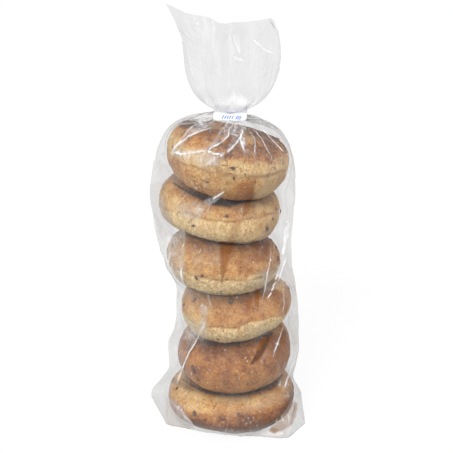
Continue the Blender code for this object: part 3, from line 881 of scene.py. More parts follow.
# Creases on the front, each along its pixels in the photo: path, width in pixels, lift in mm, whiteness.
frontCreases = (
    (((195, 124.3), (187.4, 132.4), (180.7, 140.7), (176.4, 146.4), (172.1, 151.9)), 1.9, 0.9, 0.55),
    (((210, 128.6), (197.1, 133.3), (187.4, 138.6), (179.3, 144.3), (172.1, 151.9)), 1.9, 0.9, 0.45),
    (((172, 151.9), (180.7, 153.9), (192.9, 152.4), (206.4, 150.7)), 1.9, 0.8, 0.6),
    (((207, 151), (212.9, 153.3), (221.4, 154.3)), 1.8, 0.7, 0.6),
    (((229.3, 128.6), (227.9, 136.4), (221.4, 142.9), (215, 146.4), (207.9, 150.4)), 2.0, 0.9, 0.5),
    (((230, 133.6), (235.7, 135.7), (238.6, 137.9)), 1.6, 0.6, 0.35),
    (((241.4, 132.1), (240.3, 137.9), (235.7, 144.3), (230.7, 149.3), (227.1, 153.9)), 2.0, 0.9, 0.5),
    (((241.4, 126.4), (242.9, 132.1), (240, 139.3), (242.9, 147.9), (247.1, 153.6)), 2.0, 0.9, 0.4),
    (((246.4, 125.7), (250, 132.1), (254.3, 139.3), (255, 145), (254, 152.1), (255, 156.4)), 1.8, 0.8, 0.45),
    (((248.6, 126.4), (255.7, 132.1), (261.4, 139.3), (265.7, 147.9), (271.4, 157.9)), 1.9, 0.8, 0.5),
    (((257.9, 127.9), (265.7, 135), (274.3, 143.6), (284.3, 153.6)), 2.0, 0.9, 0.6),
    (((260, 127.1), (270, 133.6), (278.6, 139.3), (285, 144.3)), 1.8, 0.7, 0.3),
    (((210, 122.1), (197.1, 122.9), (182.9, 125), (171.4, 130)), 1.8, 0.7, 0.35),
    (((212, 117), (199, 118.5), (188, 121.5)), 1.6, 0.6, 0.25),
    (((168.6, 132.9), (166.9, 142.1), (165.4, 155), (163.6, 169.3)), 1.7, 0.5, 0.5),
    (((250, 121), (262, 126), (275, 131)), 1.8, 0.7, 0.3),
    (((252, 119), (268, 124), (280, 131)), 1.8, 0.7, 0.25),
    (((288, 158), (291, 175), (293, 195)), 1.8, 0.7, 0.3),
    (((225, 190.5), (219, 194.5), (213, 199)), 1.8, 1.0, 0.75),
    (((206, 217), (209, 208), (213, 200)), 1.8, 0.5, 0.2),
    (((279.5, 205), (278.5, 218), (276, 230)), 1.6, 0.6, 0.4),
    (((271, 240), (270, 256), (267, 274), (264.5, 290), (261.5, 304)), 1.7, 0.8, 0.45),
    (((274, 241), (274, 252), (271, 265)), 1.6, 0.6, 0.3),
    (((288, 250), (284, 262), (281, 272), (277, 284)), 2.4, 1.0, 0.6),
    (((277.5, 275), (275, 280)), 1.2, 0.5, 1.0), (((276, 281.5), (272.5, 286.5)), 1.2, 0.5, 1.0),
    (((274, 286.5), (270.5, 291)), 1.2, 0.5, 0.9), (((271.5, 292), (267.5, 298.5)), 1.2, 0.5, 0.9),
    (((283, 284), (283.5, 300), (282.5, 318)), 1.7, 0.8, 0.45),
    (((285, 322), (281, 331), (277, 343), (271, 359)), 2.0, 1.1, 0.55),
    (((274, 342), (277, 344), (280, 345)), 1.4, 0.3, 0.35),
    (((182, 266), (183, 276), (186, 285)), 1.9, 0.9, 0.4),
    (((208, 293), (210, 301), (212, 308)), 2.0, 0.8, 0.35),
    (((204, 324), (198, 338), (192, 350), (187, 360), (182, 372), (175, 391)), 2.0, 1.1, 0.6),
    (((297, 355), (291, 367), (287, 377), (283, 391)), 2.2, 1.2, 0.55),
    (((252, 408), (262, 405), (275, 400), (292, 393)), 3.0, 0.6, 0.15),
    (((173, 402), (181, 410), (188, 418), (195, 427)), 1.9, 1.0, 0.5),
    (((168, 392), (168, 410), (168, 426)), 1.8, 0.7, 0.3),
    (((294, 402), (292, 415), (289, 433)), 2.0, 1.0, 0.55),
    (((286, 375), (297, 388)), 1.8, 0.8, 0.25),
)

# Parts of the front where the film stands off and turns milky, and bright patches of painted highlight on
# the film, by corners in the photo: how milky or bright, and over how many pixels the part fades out.
milkyAndHighlightParts = (
    (((196, 125), (212, 127), (192, 135), (175, 150)), 0.25, 2.5),
    (((174, 153), (205, 152), (222, 156), (216, 164), (205, 163), (190, 157)), 0.27, 6),
    (((229, 122), (236, 123), (234, 131), (224, 140), (208, 149), (214, 143)), 0.20, 3),
    (((238, 123), (244, 124), (243, 146), (240, 142), (228, 152)), 0.19, 3),
    (((204, 140), (214, 142), (230, 145), (250, 138), (256, 156), (228, 154)), 0.06, 4),
    (((184, 318), (202, 324), (206, 334), (200, 343), (188, 341), (183, 330)), 0.10, 6),
    (((174, 324), (184, 326), (184, 344), (176, 348)), -0.08, 4),
    (((190, 323), (202, 325), (202, 338), (193, 338)), 0.10, 4),
    (((256, 400), (280, 398), (284, 410), (272, 420), (256, 418)), -0.06, 5),
    (((280, 322), (292, 320), (292, 340), (282, 342)), -0.08, 4),
    (((162, 252), (168, 252), (176, 268), (170, 276), (163, 264)), 0.06, 4),
    (((262, 274), (286, 262), (288, 284), (266, 290)), 0.14, 4),
    (((284, 366), (294, 362), (292, 384), (284, 388)), 0.10, 4),
    (((250, 274), (266, 272), (266, 288), (250, 290)), 0.06, 4),
    (((248, 328), (266, 322), (268, 334), (250, 338)), 0.06, 4),
    (((244, 109), (262, 112), (272, 124), (252, 124)), -0.05, 3),
    (((188, 290), (222, 296), (220, 312), (190, 308)), 0.05, 5),
    (((244, 140), (249, 152), (247, 158), (241, 146)), 0.14, 2),
    (((192, 121), (213, 117), (214, 124), (200, 124)), 0.20, 3),
    (((224, 191), (216, 196), (205, 201), (207, 205), (215, 202)), 0.20, 2),
    (((180, 208), (190, 204), (202, 205), (202, 210), (196, 218), (184, 216)), 0.21, 6),
    (((184, 230), (184, 288), (178, 282), (168, 262), (167, 246), (172, 236)), 0.21, 3),
    (((190, 250), (216, 247), (220, 262), (200, 265)), 0.10, 6),
    (((285.5, 222), (288.5, 219), (288, 234), (285.5, 248), (283, 253), (283.5, 240)), 0.5, 2.2),
    (((203, 305), (207, 307), (206, 322), (202, 330), (202, 318)), 0.20, 2.5),
    (((178, 331), (196, 331), (187, 360), (181, 364)), 0.12, 3),
    (((280, 380), (281, 384), (278, 386), (278, 383)), 0.35, 1.4),
    (((262, 398), (292, 391), (294, 394), (256, 410), (252, 407)), 0.10, 3),
    (((172, 402), (180, 407), (188, 415), (186, 418), (176, 409)), 0.10, 2),
    (((263, 434), (269, 430.5), (276, 429.5), (277, 434)), 1.0, 1.8),
    (((276, 431), (283, 434), (279, 435)), 0.4, 1.2),
    (((150, 394), (168, 393), (168, 427), (160, 420)), 0.07, 2),
    (((168, 394), (180, 404), (195, 427), (168, 427)), 0.08, 2),
    (((296, 395), (301, 394), (303, 427), (290, 439), (288, 432)), 0.14, 2),
    (((195, 426), (250, 431), (262, 431), (288, 424), (287, 441), (250, 438), (205, 432)), 0.09, 2),
)

# Painted reflections of the crusts, brown on the film: corners in the photo, how strong, soft edge in
# pixels.
reflectedBrownParts = (
    (((152, 186), (162, 182), (164, 205), (172, 230), (164, 238), (156, 216)), 0.5, 4),
    (((167, 398), (176, 403), (192, 426), (168, 427)), 0.66, 4),
    (((287, 268), (294, 272), (294, 304), (287, 300)), 0.3, 3),
    (((270, 430), (280, 421), (288, 411), (293, 402), (297, 404), (294, 418), (286, 428), (276, 432)),
     0.95, 3.5),
    (((222, 431), (264, 429), (288, 424), (290, 434), (264, 437), (226, 434)), 0.34, 3),
    (((286, 318), (297, 316), (297, 342), (289, 344)), 0.36, 4),
    (((171, 326), (184, 322), (182, 342), (172, 348)), 0.30, 4),
    (((159, 162), (172, 166), (178, 180), (162, 182)), 0.24, 4),
)

# Painted highlights: small bright points painted white on the film, in pixels of the photo.
paintedGlintPoints = (
    (228, 158), (233, 157.5), (238, 160), (243, 163), (254, 163), (247, 161), (221, 156), (205, 186),
    (197, 188), (248, 351.5), (213, 360), (209, 370), (252, 372), (239, 378), (262, 362), (225, 350),
    (236, 362), (243, 420), (248, 418), (253, 417), (250, 422), (257, 425), (246, 423), (235, 415),
    (280, 404), (283, 402), (254, 216), (271, 213), (196, 187), (262, 247), (199, 368), (229, 256),
    (212, 225), (258, 283), (237, 297),
)


def filmAngles():  # round the film from the left seam by the front to the right seam, and on by the back
    left, right = math.radians(film["leftSeam"]), math.radians(film["rightSeam"])
    front = np.linspace(left - 2 * math.pi, right, film["front"], endpoint=False)
    return np.concatenate([front, np.linspace(right, left, film["back"], endpoint=False)])


def blurWeights(sigma):
    reach = int(3 * sigma) + 1
    weights = np.exp(-0.5 * (np.arange(-reach, reach + 1) / sigma) ** 2)
    return reach, weights / weights.sum()


def blurRows(grid, sigma):
    reach, weights = blurWeights(sigma)
    padded = np.concatenate([grid[:1].repeat(reach, 0), grid, grid[-1:].repeat(reach, 0)])
    return sum(w * padded[i:i + len(grid)] for i, w in enumerate(weights))


def blurAround(grid, sigma):
    reach, weights = blurWeights(sigma)
    return sum(w * np.roll(grid, i - reach, 1) for i, w in enumerate(weights))


domeMiddle = np.array([film["neckX"], 0, film["shoulder"]])


def neckRing(angles, share):  # a ring of the leaning neck, from its lower end, 0, to its upper end, 1
    lean = math.radians(film["neckLean"])
    height = film["neckBottom"] + (film["neckTop"] - film["neckBottom"]) * share
    forward = (height - (film["neckBottom"] + film["neckTop"]) / 2) * math.tan(lean)
    way = np.stack([np.cos(angles), np.sin(angles) * math.cos(lean), np.sin(angles) * math.sin(lean)], 1)
    return np.array([film["neckX"], -forward, height]) + way * film["neckRadius"]


def domeWays(shoulder):  # directions from the dome's middle, from the shoulder up to the neck
    flat = (shoulder - domeMiddle) * (1, 1, 0)
    flat /= np.linalg.norm(flat, axis=1)[:, None]
    last = neckRing(filmAngles(), 0) - domeMiddle
    last /= np.linalg.norm(last, axis=1)[:, None]
    steep = np.arcsin(last[:, 2])
    ways = []
    for row in range(1, film["rows"]["dome"] + 1):
        share = 1 - (1 - row / film["rows"]["dome"]) ** film["domeRows"]
        facing = share ** film["turning"]
        turned = flat * (1 - facing) + last * facing
        turned = turned * (1, 1, 0) / np.linalg.norm(turned[:, :2], axis=1)[:, None]
        up = steep * share
        ways.append(turned * np.cos(up)[:, None] + np.array([0, 0, 1]) * np.sin(up)[:, None])
    return ways


def filmGrid(solid):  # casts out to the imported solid, so that the film takes its form
    angles = filmAngles()
    counts = film["rows"]
    heights = np.linspace(film["firstRing"], film["shoulder"], counts["body"])
    reach = np.zeros((counts["body"], len(angles)))
    for row, z in enumerate(heights):
        for column, angle in enumerate(angles):
            hit = solid.ray_cast(Vector((0, 0, z)), Vector((math.cos(angle), math.sin(angle), 0)))
            reach[row, column] = hit[3] if hit[0] else reach[row - 1, column]
    reach = blurRows(reach, 3)

    def ring(reach, z):
        return np.stack([reach * np.cos(angles), reach * np.sin(angles), np.full_like(angles, z)], 1)

    grid = [ring(reach[0] * share, film["base"]) for share in np.linspace(0, 0.985, counts["base"])]
    grid += [ring(reach[row], z) for row, z in enumerate(heights)]
    for ways in domeWays(grid[-1]):
        distance = np.zeros(len(angles))
        for column, way in enumerate(ways):
            hit = solid.ray_cast(Vector(domeMiddle), Vector(way))
            distance[column] = hit[3] if hit[0] else 0.045
        grid.append(domeMiddle + ways * distance[:, None])
    dome = slice(len(grid) - counts["dome"], len(grid))
    risen = np.linspace(0, 1, counts["dome"])[:, None]
    leftSide, rightSide = bell(angles + math.pi, 0, 0.9), bell(angles, 0.5, 0.9)
    tuck = film["leftTuck"] * smooth(risen / 0.2) * smooth((1 - risen) / 0.35) * leftSide
    tuck += film["rightTuck"] * smooth((risen - 0.35) / 0.35) * smooth((1 - risen) / 0.08) * rightSide
    grid[dome] = domeMiddle + (np.array(grid[dome]) - domeMiddle) * (1 - tuck)[..., None]
    grid += [neckRing(angles, (row + 1) / counts["neck"]) for row in range(counts["neck"])]
    grid = np.array(grid)
    grid[dome] = blurAround(blurRows(grid[dome], 1.5), 2.5)
    return grid


def gridNormals(grid):
    cross = np.cross(np.roll(grid, -1, 1) - np.roll(grid, 1, 1), np.gradient(grid, axis=0))
    return cross / np.maximum(np.linalg.norm(cross, axis=2, keepdims=True), 1e-9)


def turnedFrom(angle, middle):
    return (angle - middle + math.pi) % (2 * math.pi) - math.pi


def besideLine(across, upward, tilt, length):
    # How far points lie to the side of a tilted line, and how the line fades towards its two ends.
    distance = across * math.cos(tilt) - upward * math.sin(tilt)
    place = across * math.sin(tilt) + upward * math.cos(tilt)
    return distance, np.clip(1 - (2 * place / length) ** 2, 0, 1)


def linesAtRandom(lines, angle, along, low, high):
    for _ in range(lines["count"]):
        middleAngle, middle = random.uniform(0, 2 * math.pi), random.uniform(low, high - lines["below"])
        length, tilt = random.uniform(*lines["length"]), math.radians(random.gauss(0, lines["tilt"]))
        yield besideLine(turnedFrom(angle, middleAngle) * film["middling"], along - middle, tilt, length)


def creasesOn(creases, pixels, shown, ends, least, lifted, whitened, reach):
    # Lift and whiteness of the creases in a list. They fade over a share of their length at both ends,
    # down to least, and reach is how far their whiteness spreads, in pixels.
    lift, white = np.zeros(len(pixels)), np.zeros(len(pixels))
    for path, width, height, whiteness in creases:
        distance, share = pathDistance(pixels, path)
        taper = least + (1 - least) * smooth(share / ends) * smooth((1 - share) / ends)
        lift += lifted * height * mm * ridge(distance, width) * taper * shown
        white += whitened * whiteness * ridge(distance, reach) * taper * shown
    return lift, white


def foldFilm(grid):
    # Raises creases and pleats on the smooth film. Gives the lift in metres, how white each point is, and
    # how much brown of the crusts it mirrors.
    random.seed(11)
    shape = grid.shape[:2]
    angle = np.broadcast_to(filmAngles(), shape)
    steps = np.linalg.norm(np.diff(grid[:, 0], axis=0), axis=1)
    along = np.concatenate([[0], np.cumsum(steps)])[:, None] * np.ones(shape)
    radius = np.hypot(grid[..., 0] - film["neckX"], grid[..., 1])
    lift, white = np.zeros(shape), np.zeros(shape)
    firstBody = film["rows"]["base"]
    neckRow = firstBody + film["rows"]["body"] + film["rows"]["dome"] - 1
    low, high = along[firstBody, 0], along[neckRow, 0]

    for distance, taper in linesAtRandom(looseFolds, angle, along, low, high):  # most run up and down
        width, height = (random.uniform(*looseFolds[name]) * mm for name in ("width", "height"))
        skew, whiteness = (random.uniform(*looseFolds[name]) for name in ("skew", "whiteness"))
        lift += height * ridge(distance, width, skew) * taper ** 0.7
        white += whiteness * ridge(distance, looseFolds["line"] * mm) * taper

    for distance, taper in linesAtRandom(glints, angle, along, low, high):  # short streaks of painted highlight
        white += random.uniform(*glints["whiteness"]) * ridge(distance, glints["line"] * mm) * taper

    for index in range(pleats["count"]):  # pleats run down from the neck and die out on the rim
        place = index + random.uniform(-pleats["uneven"], pleats["uneven"])
        middleAngle = 2 * math.pi * place / pleats["count"]
        reach, drift = random.uniform(*pleats["reach"]), random.uniform(*pleats["drift"])
        height, skew = random.uniform(*pleats["height"]) * mm, random.choice(pleats["skew"])
        down = along[neckRow, 0] - along
        distance = turnedFrom(angle, middleAngle + drift * smooth(down / reach)) * radius
        width = np.minimum(pleats["width"] * mm, radius * pleats["widthShare"])
        grown = smooth((radius / mm - pleats["starts"]) / pleats["grows"])
        fade = smooth(1 - down / reach) * grown * (down > 0)
        lift += height * ridge(distance, width, skew) * fade
        white += pleats["whiteness"] * ridge(distance, pleats["line"] * mm) * fade

    points = grid.reshape(-1, 3)
    normals = gridNormals(grid).reshape(-1, 3)
    pixels = toPhoto(points)
    front = smooth((facesCamera(points, normals) - 0.02) / 0.2)
    ragged = raggedEdge(points, 4 * mm, 33)
    fibrous = np.clip(1 + 0.6 * wobble(points, 6 * mm, 35, (1, 1, 0.4)), 0.4, 1.6)
    streaky = np.clip(1 + 0.7 * wobble(points, 2.5 * mm, 36, (1, 1, 0.4)), 0.2, 1.8)
    creased, bright = creasesOn(frontCreases, pixels + 0.5 * ragged, front, 0.2, 0.15, 0.7, 0.9, 1.05)
    # milky film, and bright patches of painted highlight
    milky = sum(partsOn(milkyAndHighlightParts, pixels, ragged, perEdge=0.5)) * streaky
    # painted reflections of the crusts, brown on the film
    brown = np.max(list(partsOn(reflectedBrownParts, pixels, ragged, perEdge=0.4)), axis=0)
    clinging = sum(partsOn(clingingParts, pixels))  # less haze where the film clings
    # painted highlights: small glints painted white on the film
    paintedGlinting = sum(bell(np.linalg.norm(pixels - pixel, axis=1), 0, 0.9) for pixel in paintedGlintPoints)
    lift += creased.reshape(shape)
    hazy = milky + film["mirrorWhite"] * brown + film["paintedGlintWhite"] * paintedGlinting
    hazy -= film["clingClear"] * clinging
    white += (hazy * front + bright * fibrous).reshape(shape)

    tall = wobble(points, 17 * mm, 31, (1, 1, 0.4)).reshape(shape)
    fine = wobble(points, 7 * mm, 32, (1, 1, 0.5)).reshape(shape)
    crinkle = (0.55 - np.abs(tall)) * 1.0 + (0.4 - np.abs(fine)) * 0.35
    calm = smooth((radius - 6 * mm) / (12 * mm))
    lift += film["crumple"] * mm * crinkle * calm
    gathered = smooth((17 * mm - radius) / (12 * mm)) * (along > high - 0.05)
    white += film["neckWhite"] * gathered
    lift[:firstBody] = 0
    return lift, white, (brown * front).reshape(shape)


def clearTheCrust(grid, crust, clearance, soft):
    # Moves the film out where it lies closer to the crusts than the clearance, and what is round it too.
    centres = grid * (0, 0, 1)
    centres[film["rows"]["base"] + film["rows"]["body"]:] = domeMiddle
    away = grid - centres
    reach = np.linalg.norm(away, axis=2)
    ways = away / np.maximum(reach, 1e-6)[..., None]
    short = np.zeros(reach.shape)
    for row in range(film["rows"]["base"], len(grid) - film["rows"]["neck"]):
        for column in range(grid.shape[1]):
            way = Vector(ways[row, column])
            distance = crust.ray_cast(Vector(centres[row, column]) + way * film["outside"], -way)[3]
            if distance is not None:
                short[row, column] = max(0, film["outside"] - distance + clearance - reach[row, column])
    spread = short
    for axis in (0, 1, 0, 1):
        spread = np.maximum(spread, np.maximum(np.roll(spread, 1, axis), np.roll(spread, -1, axis)))
    spread = blurAround(blurRows(spread, soft), soft)
    return grid + ways * np.maximum(short, spread)[..., None]


def sheetFromGrid(name, grid, rolled=False):
    # A flat sheet with a point for each place on the grid. A rolled one is joined down its side.
    rows, columns = grid.shape[:2]
    faces = columns if rolled else columns - 1
    deselectAll()
    bpy.ops.mesh.primitive_grid_add(x_subdivisions=faces, y_subdivisions=rows - 1, size=1)
    made = bpy.context.object
    made.name = name
    flat = getPoints(made)
    column = np.rint((flat[:, 0] + 0.5) * faces).astype(int) % columns
    row = np.rint((flat[:, 1] + 0.5) * (rows - 1)).astype(int)
    setPoints(made, grid[row, column])
    storeAttribute(made, "row", row)
    storeAttribute(made, "column", column)
    bpy.ops.object.mode_set(mode="EDIT")
    bpy.ops.mesh.select_all(action="SELECT")
    bpy.ops.mesh.remove_doubles(threshold=1e-7)
    bpy.ops.object.mode_set(mode="OBJECT")
    return made


def paintGrid(made, name, values):  # gives a rolled sheet a value for each place on its grid
    count = len(made.data.vertices)
    row, column = np.zeros(count), np.zeros(count)
    made.data.attributes["row"].data.foreach_get("value", row)
    made.data.attributes["column"].data.foreach_get("value", column)
    storeAttribute(made, name, values[row.astype(int), column.astype(int)])


def filmMaterial(name, outline, whitest):
    # outline is how much denser the film looks where it turns away, and whitest the haze that is fully white
    material, tree, shader = newMaterial(name)
    haze = painted(tree, "haze")
    facing = wire(tree, "ShaderNodeLayerWeight", {"Blend": 0.5}).outputs["Facing"]
    edge = calculate(tree, "MULTIPLY", calculate(tree, "POWER", facing, 2.4), outline)
    place = objectPlace(tree)
    stretched = wire(tree, "ShaderNodeMapping", {"Vector": place, "Scale": (1, 1, 0.35)}).outputs[0]
    streaks = stepBetween(tree, clouds(tree, stretched, 70, 4.0), 0.3, 0.7, 0.75, 1.3)
    share = calculate(tree, "ADD", calculate(tree, "MULTIPLY", haze, streaks), edge, clamp=True)
    dense = stepBetween(tree, haze, 0.3 * whitest, whitest)
    colour = blendColours(tree, dense, (0.40, 0.39, 0.38), (0.90, 0.90, 0.92))
    # painted reflections of the crusts turn the film brown
    colour = blendColours(tree, painted(tree, "brown"), colour, (0.24, 0.125, 0.055))
    tree.links.new(colour, shader.inputs["Base Color"])
    shader.inputs["Roughness"].default_value = 0.18
    shader.inputs["IOR"].default_value = 1.9
    tree.links.new(bumps(tree, clouds(tree, stretched, 160, 3.0), 0.35, 0.5), shader.inputs["Normal"])
    clear = wire(tree, "ShaderNodeBsdfTransparent", {"Color": (0.955, 0.957, 0.957, 1)})
    mixed = wire(tree, "ShaderNodeMixShader", {0: share, 1: clear.outputs[0], 2: shader.outputs[0]})
    tree.links.new(mixed.outputs[0], tree.nodes["Material Output"].inputs["Surface"])
    return material


def makeBagFilm(solid, crust, material):
    grid = clearTheCrust(filmGrid(solid), crust, film["clearance"], 2.5)
    lift, white, brown = foldFilm(grid)
    grid = clearTheCrust(grid + gridNormals(grid) * lift[..., None], crust, film["leastClearance"], 1.2)
    grid[..., 2] = np.maximum(grid[..., 2], film["lowest"])
    haze = film["haze"] + white
    seamed = film["front"]
    sheets = []
    for name, columns in (("filmFront", list(range(seamed + 1))),
                          ("filmBack", list(range(seamed, grid.shape[1])) + [0])):
        made = sheetFromGrid(name, grid[:, columns])
        paintGrid(made, "haze", haze[:, columns])
        paintGrid(made, "brown", brown[:, columns])
        finishPiece(made, material)
        sheets.append(made)
    return sheets


solidTree = treeOf([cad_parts["bag"]])
crustTree = treeOf(breads + [raisinPiece])
clearFilm = filmMaterial("clearFilm", 0.42, 0.60)
filmSheets = makeBagFilm(solidTree, crustTree, clearFilm)
print("film drawn round the bagels")


# The open ruffle of film above the clip

ruffle = dict(
    around=384, rows=132, lowerRows=1.4,  # lowerRows above 1 puts more of the rows near the neck
    left=40, right=42.5, rightTuck=10, tuckPower=6, leftOpening=5.3, rightOpening=5, flare=0.6,
    tipReach=13, tipStart=0.68, tipPower=1.6, valley=363, leftTip=379, rightTip=368, sweep=1.3,
    depth=13, belly=0.62, edge=0.9, wave=5, waves=1.6, upright=5,
    rim=((-46, 0), (-35, -1.8), (-28, 0), (-21, 1.8), (-14.5, 2.6), (-10.5, 1.2), (-7, 0), (6, 0),
         (15, -1.2), (26, -0.8), (35, 0)),  # dips and rises of the top edge: x and z in mm
    folds=5, foldDepth=1.5, openedAt=20 * mm,
    neckHaze=0.28, hazeReach=18 * mm,  # many layers lie together at the neck
)
ruffleFolds = dict(count=46, x=(-0.04, 0.045), z=(0.30, 0.37), root=0.27, length=(0.015, 0.055), tilt=22,
                   width=(2.2, 5.5), height=(0.2, 0.8), skew=(0.4, 2.2), line=0.8, whiteness=(0.02, 0.10))

# Its own creases, and its milky parts with some painted highlights, given like those of the front.
ruffleCreases = (
    (((251, 38), (258, 44), (266, 50), (277, 56.5)), 1.7, 0.7, 0.8),
    (((233, 33), (234, 40), (238, 50), (241, 57)), 2.2, 1.0, 0.5),
    (((236, 33), (238, 42), (240, 52)), 1.8, 0.8, 0.35),
    (((232, 56.5), (238, 59), (242, 61.5)), 2.0, 0.8, 0.7),
    (((241, 57), (242, 60), (245, 64)), 2.0, 0.6, 0.5),
    (((252, 55), (256, 53)), 2.0, 0.5, 0.6),
    (((255, 58), (258, 58)), 2.0, 0.5, 0.6),
    (((204, 17), (206, 28), (203, 40), (201, 45)), 4.0, 0.5, 0.12),
    (((196, 23), (199, 24)), 2.0, 0.4, 0.45),
    (((186, 42), (189, 58), (192, 72), (199, 88)), 2.4, 1.0, 0.35),
    (((183, 38), (185, 55), (187, 75)), 1.8, 0.8, 0.25),
    (((271, 20), (276, 32), (279, 50)), 2.0, 0.8, 0.35),
    (((198, 88), (203, 97), (210, 105)), 3.0, 1.0, 0.35),
    (((243, 75), (245, 82)), 2.0, 0.6, 0.4),
    (((178, 16), (182, 24), (184, 34)), 2.2, 0.8, 0.3),
    (((233, 86), (234, 98), (231, 110)), 4.0, 0.8, 0.4),
)

ruffleMilkyAndHighlightParts = (
    (((233, 93), (238, 93), (242, 102), (246, 110), (228, 110), (231, 101)), 0.14, 9),
    (((235, 32), (252, 36), (250, 56), (238, 58)), 0.05, 9),
    (((210, 26), (223, 27), (222, 40), (211, 38)), 0.04, 9),
    (((198, 15), (208, 16), (208, 30), (202, 44), (199, 36)), 0.13, 9),
    (((210, 42), (224, 38), (222, 64), (212, 72)), 0.04, 9),
    (((213, 104), (228, 100), (248, 104), (244, 112), (214, 112)), 0.08, 9),
)


def openedOut(end, opening, share):  # fast out of the neck, then nearly straight up
    start = film["neckRadius"] / mm
    opened = (1 - math.exp(-opening * share)) / (1 - math.exp(-opening))
    return start + (end - start) * opened ** ruffle["flare"]


def ruffleGrid():
    random.seed(23)
    angles = np.arange(ruffle["around"]) / ruffle["around"] * 2 * math.pi
    neckX, neck, bottom = film["neckX"] / mm, film["neckRadius"] / mm, film["neckTop"] / mm
    lean = math.radians(film["neckLean"])
    neckForward = (film["neckTop"] - film["neckBottom"]) / 2 / mm * math.tan(lean)
    farLeft = ruffle["left"] + ruffle["tipReach"] - neckX
    farRight = ruffle["right"] - ruffle["rightTuck"] + neckX
    bends = [random.uniform(-0.35, 0.35) for _ in range(4)]
    warped = angles + sum(b * np.sin((i + 1) * angles + 3 * b) / (i + 1) for i, b in enumerate(bends))
    grid = []
    for row in range(ruffle["rows"]):
        share = (row / (ruffle["rows"] - 1)) ** ruffle["lowerRows"]
        tip = max(0.0, (share - ruffle["tipStart"]) / (1 - ruffle["tipStart"])) ** ruffle["tipPower"]
        left = openedOut(ruffle["left"], ruffle["leftOpening"], share) + ruffle["tipReach"] * tip
        right = openedOut(ruffle["right"], ruffle["rightOpening"], share)
        right -= ruffle["rightTuck"] * share ** ruffle["tuckPower"]
        fullness = math.sin(math.pi * share ** ruffle["belly"])  # it bellies out low down, over the clip
        depth = neck * (1 - share) + ruffle["depth"] * fullness + ruffle["edge"] * share
        x = neckX + np.where(np.cos(angles) > 0, right, left) * np.cos(angles)
        wave = np.sin(ruffle["waves"] * 2 * math.pi * x / (left + right))
        wave *= ruffle["wave"] * smooth(share * 1.5)
        deep = ruffle["foldDepth"] * smooth(share / 0.12) * (1 - 0.55 * share)
        phase = 2 * ruffle["folds"] * warped + 1.5 * share
        folded = np.arcsin(0.97 * np.sin(phase)) / 1.33 * deep
        out = depth * np.sin(angles) + folded * (0.35 + 0.65 * np.abs(np.sin(angles)))
        leaning = (1 - share) ** ruffle["upright"]
        rise = np.where(x < 0, (ruffle["leftTip"] - ruffle["valley"])
                        * np.minimum(1, -np.minimum(x, 0) / farLeft) ** ruffle["sweep"],
                        (ruffle["rightTip"] - ruffle["valley"])
                        * np.minimum(1, np.maximum(x, 0) / farRight) ** ruffle["sweep"])
        rise += np.interp(x, *zip(*ruffle["rim"])) * share ** 3
        z = bottom + (ruffle["valley"] + rise - bottom) * share + out * math.sin(lean) * leaning
        x = x + 0.7 * np.sin(phase + 1.1) * smooth(share / 0.2) * np.abs(np.sin(angles))
        grid.append(np.stack([x, wave + out - neckForward * leaning, z], 1) * mm)
    return np.array(grid)


def foldRuffle(grid):
    shape = grid.shape[:2]
    lift, white = np.zeros(shape), np.zeros(shape)
    front = np.broadcast_to(np.sin(np.arange(shape[1]) / shape[1] * 2 * math.pi) < 0, shape)
    x, z = grid[..., 0], grid[..., 2]
    drawn = ruffleFolds
    for _ in range(drawn["count"]):  # they fan out from the neck
        middleX, middleZ = random.uniform(*drawn["x"]), random.uniform(*drawn["z"])
        onFront = random.random() < 0.5
        fan = math.atan2(middleX - film["neckX"], middleZ - drawn["root"])
        tilt = fan + math.radians(random.gauss(0, drawn["tilt"]))
        length, width = random.uniform(*drawn["length"]), random.uniform(*drawn["width"]) * mm
        height, skew = random.uniform(*drawn["height"]) * mm, random.uniform(*drawn["skew"])
        distance, taper = besideLine(x - middleX, z - middleZ, tilt, length)
        taper = taper * (front == onFront)
        lift += height * ridge(distance, width, skew) * taper ** 0.7
        white += random.uniform(*drawn["whiteness"]) * ridge(distance, drawn["line"] * mm) * taper
    points = grid.reshape(-1, 3)
    pixels, shown = toPhoto(points), front.ravel()
    creased, bright = creasesOn(ruffleCreases, pixels, shown, 0.15, 0, 1, 0.34, 2.3)
    # milky film, with some painted highlights
    milky = sum(partsOn(ruffleMilkyAndHighlightParts, pixels, raggedEdge(points, 5 * mm, 43), fixed=3)) * shown
    lift += creased.reshape(shape)
    white += (bright + milky).reshape(shape)
    risen = z - film["neckTop"]
    opened = smooth(risen / ruffle["openedAt"])
    tall = wobble(points, 15 * mm, 41, (1, 1, 0.5)).reshape(shape)
    fine = wobble(points, 6 * mm, 42, (1, 1, 0.6)).reshape(shape)
    lift += ((0.5 - np.abs(tall)) * 0.7 + (0.4 - np.abs(fine)) * 0.2) * mm * opened
    white += ruffle["neckHaze"] * smooth(1 - risen / ruffle["hazeReach"])
    return lift * opened, white


def makeRuffle(material):
    grid = ruffleGrid()
    lift, white = foldRuffle(grid)
    made = sheetFromGrid("filmRuffle", grid + gridNormals(grid) * lift[..., None], rolled=True)
    paintGrid(made, "haze", film["haze"] + white)
    finishPiece(made, material)
    return made


filmRuffle = makeRuffle(filmMaterial("ruffleFilm", 0.30, 0.38))
print("ruffle opened out")


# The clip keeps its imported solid, with a better plastic

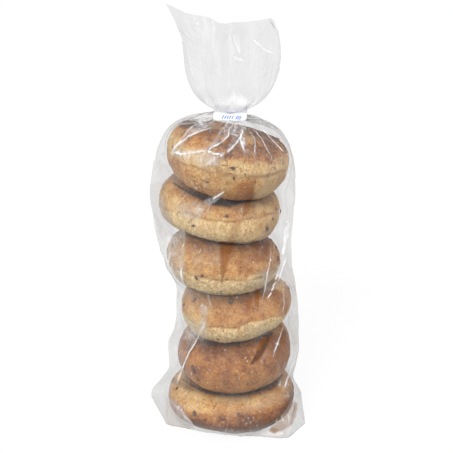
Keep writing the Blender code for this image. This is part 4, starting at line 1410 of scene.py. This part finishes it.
def plasticMaterial():
    material, tree, shader = newMaterial("whitePlastic")
    cloudy = clouds(tree, objectPlace(tree), 300)
    colour = blendColours(tree, cloudy, (0.86, 0.88, 0.92), (0.93, 0.94, 0.96))
    tree.links.new(colour, shader.inputs["Base Color"])
    tree.links.new(stepBetween(tree, cloudy, 0.3, 0.7, 0.28, 0.42), shader.inputs["Roughness"])
    tree.links.new(bumps(tree, cloudy, 0.1, 0.1), shader.inputs["Normal"])
    return material


clipMarks = dict(
    rows=(((223, 117), (232.6, 117.4), 5), ((236.6, 117.6), (240.4, 117.8), 3)),  # ends in pixels, and count
    tall=5.2, wide=1.0, slant=18, thick=0.12, bevel=0.05,  # each mark, in mm, and its slant in degrees
)


def inkMaterial():
    material, tree, shader = newMaterial("blueInk")
    worn = stepBetween(tree, clouds(tree, objectPlace(tree), 1500), 0.4, 0.7)
    colour = blendColours(tree, worn, (0.05, 0.11, 0.60), (0.22, 0.32, 0.80))
    tree.links.new(colour, shader.inputs["Base Color"])
    shader.inputs["Roughness"].default_value = 0.4
    return material


def addClipMarks(clipNode):  # plain slanted dashes on the front of the clip
    tree = treeOf([clipNode])
    size = Matrix.Diagonal((*(clipMarks[side] * mm for side in ("wide", "tall", "thick")), 1))
    marks = []
    for start, end, count in clipMarks["rows"]:
        for pixel in np.linspace(start, end, count):
            hit, normal = tree.ray_cast(*photoRay(pixel))[:2]
            if hit:
                bpy.ops.mesh.primitive_cube_add(size=1)
                mark = bpy.context.object
                mark.matrix_world = Matrix.Translation(hit) @ lyingOn(normal, clipMarks["slant"]) @ size
                marks.append(mark)
    made = joinAll(marks, "clipMarks")
    bpy.ops.object.mode_set(mode="EDIT")
    bpy.ops.mesh.select_all(action="SELECT")
    bpy.ops.mesh.bevel(offset=clipMarks["bevel"] * mm, segments=2)
    bpy.ops.object.mode_set(mode="OBJECT")
    finishPiece(made, inkMaterial(), angle=40)
    return made


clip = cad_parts["clip"]
clip.data.materials.clear()
clip.data.materials.append(plasticMaterial())
clipDashes = addClipMarks(clip)
print("clip finished")

for piece in breads + [raisinPiece] + filmSheets + [filmRuffle]:
    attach(piece, "root")
    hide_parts("bag")
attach(clipDashes, "root")
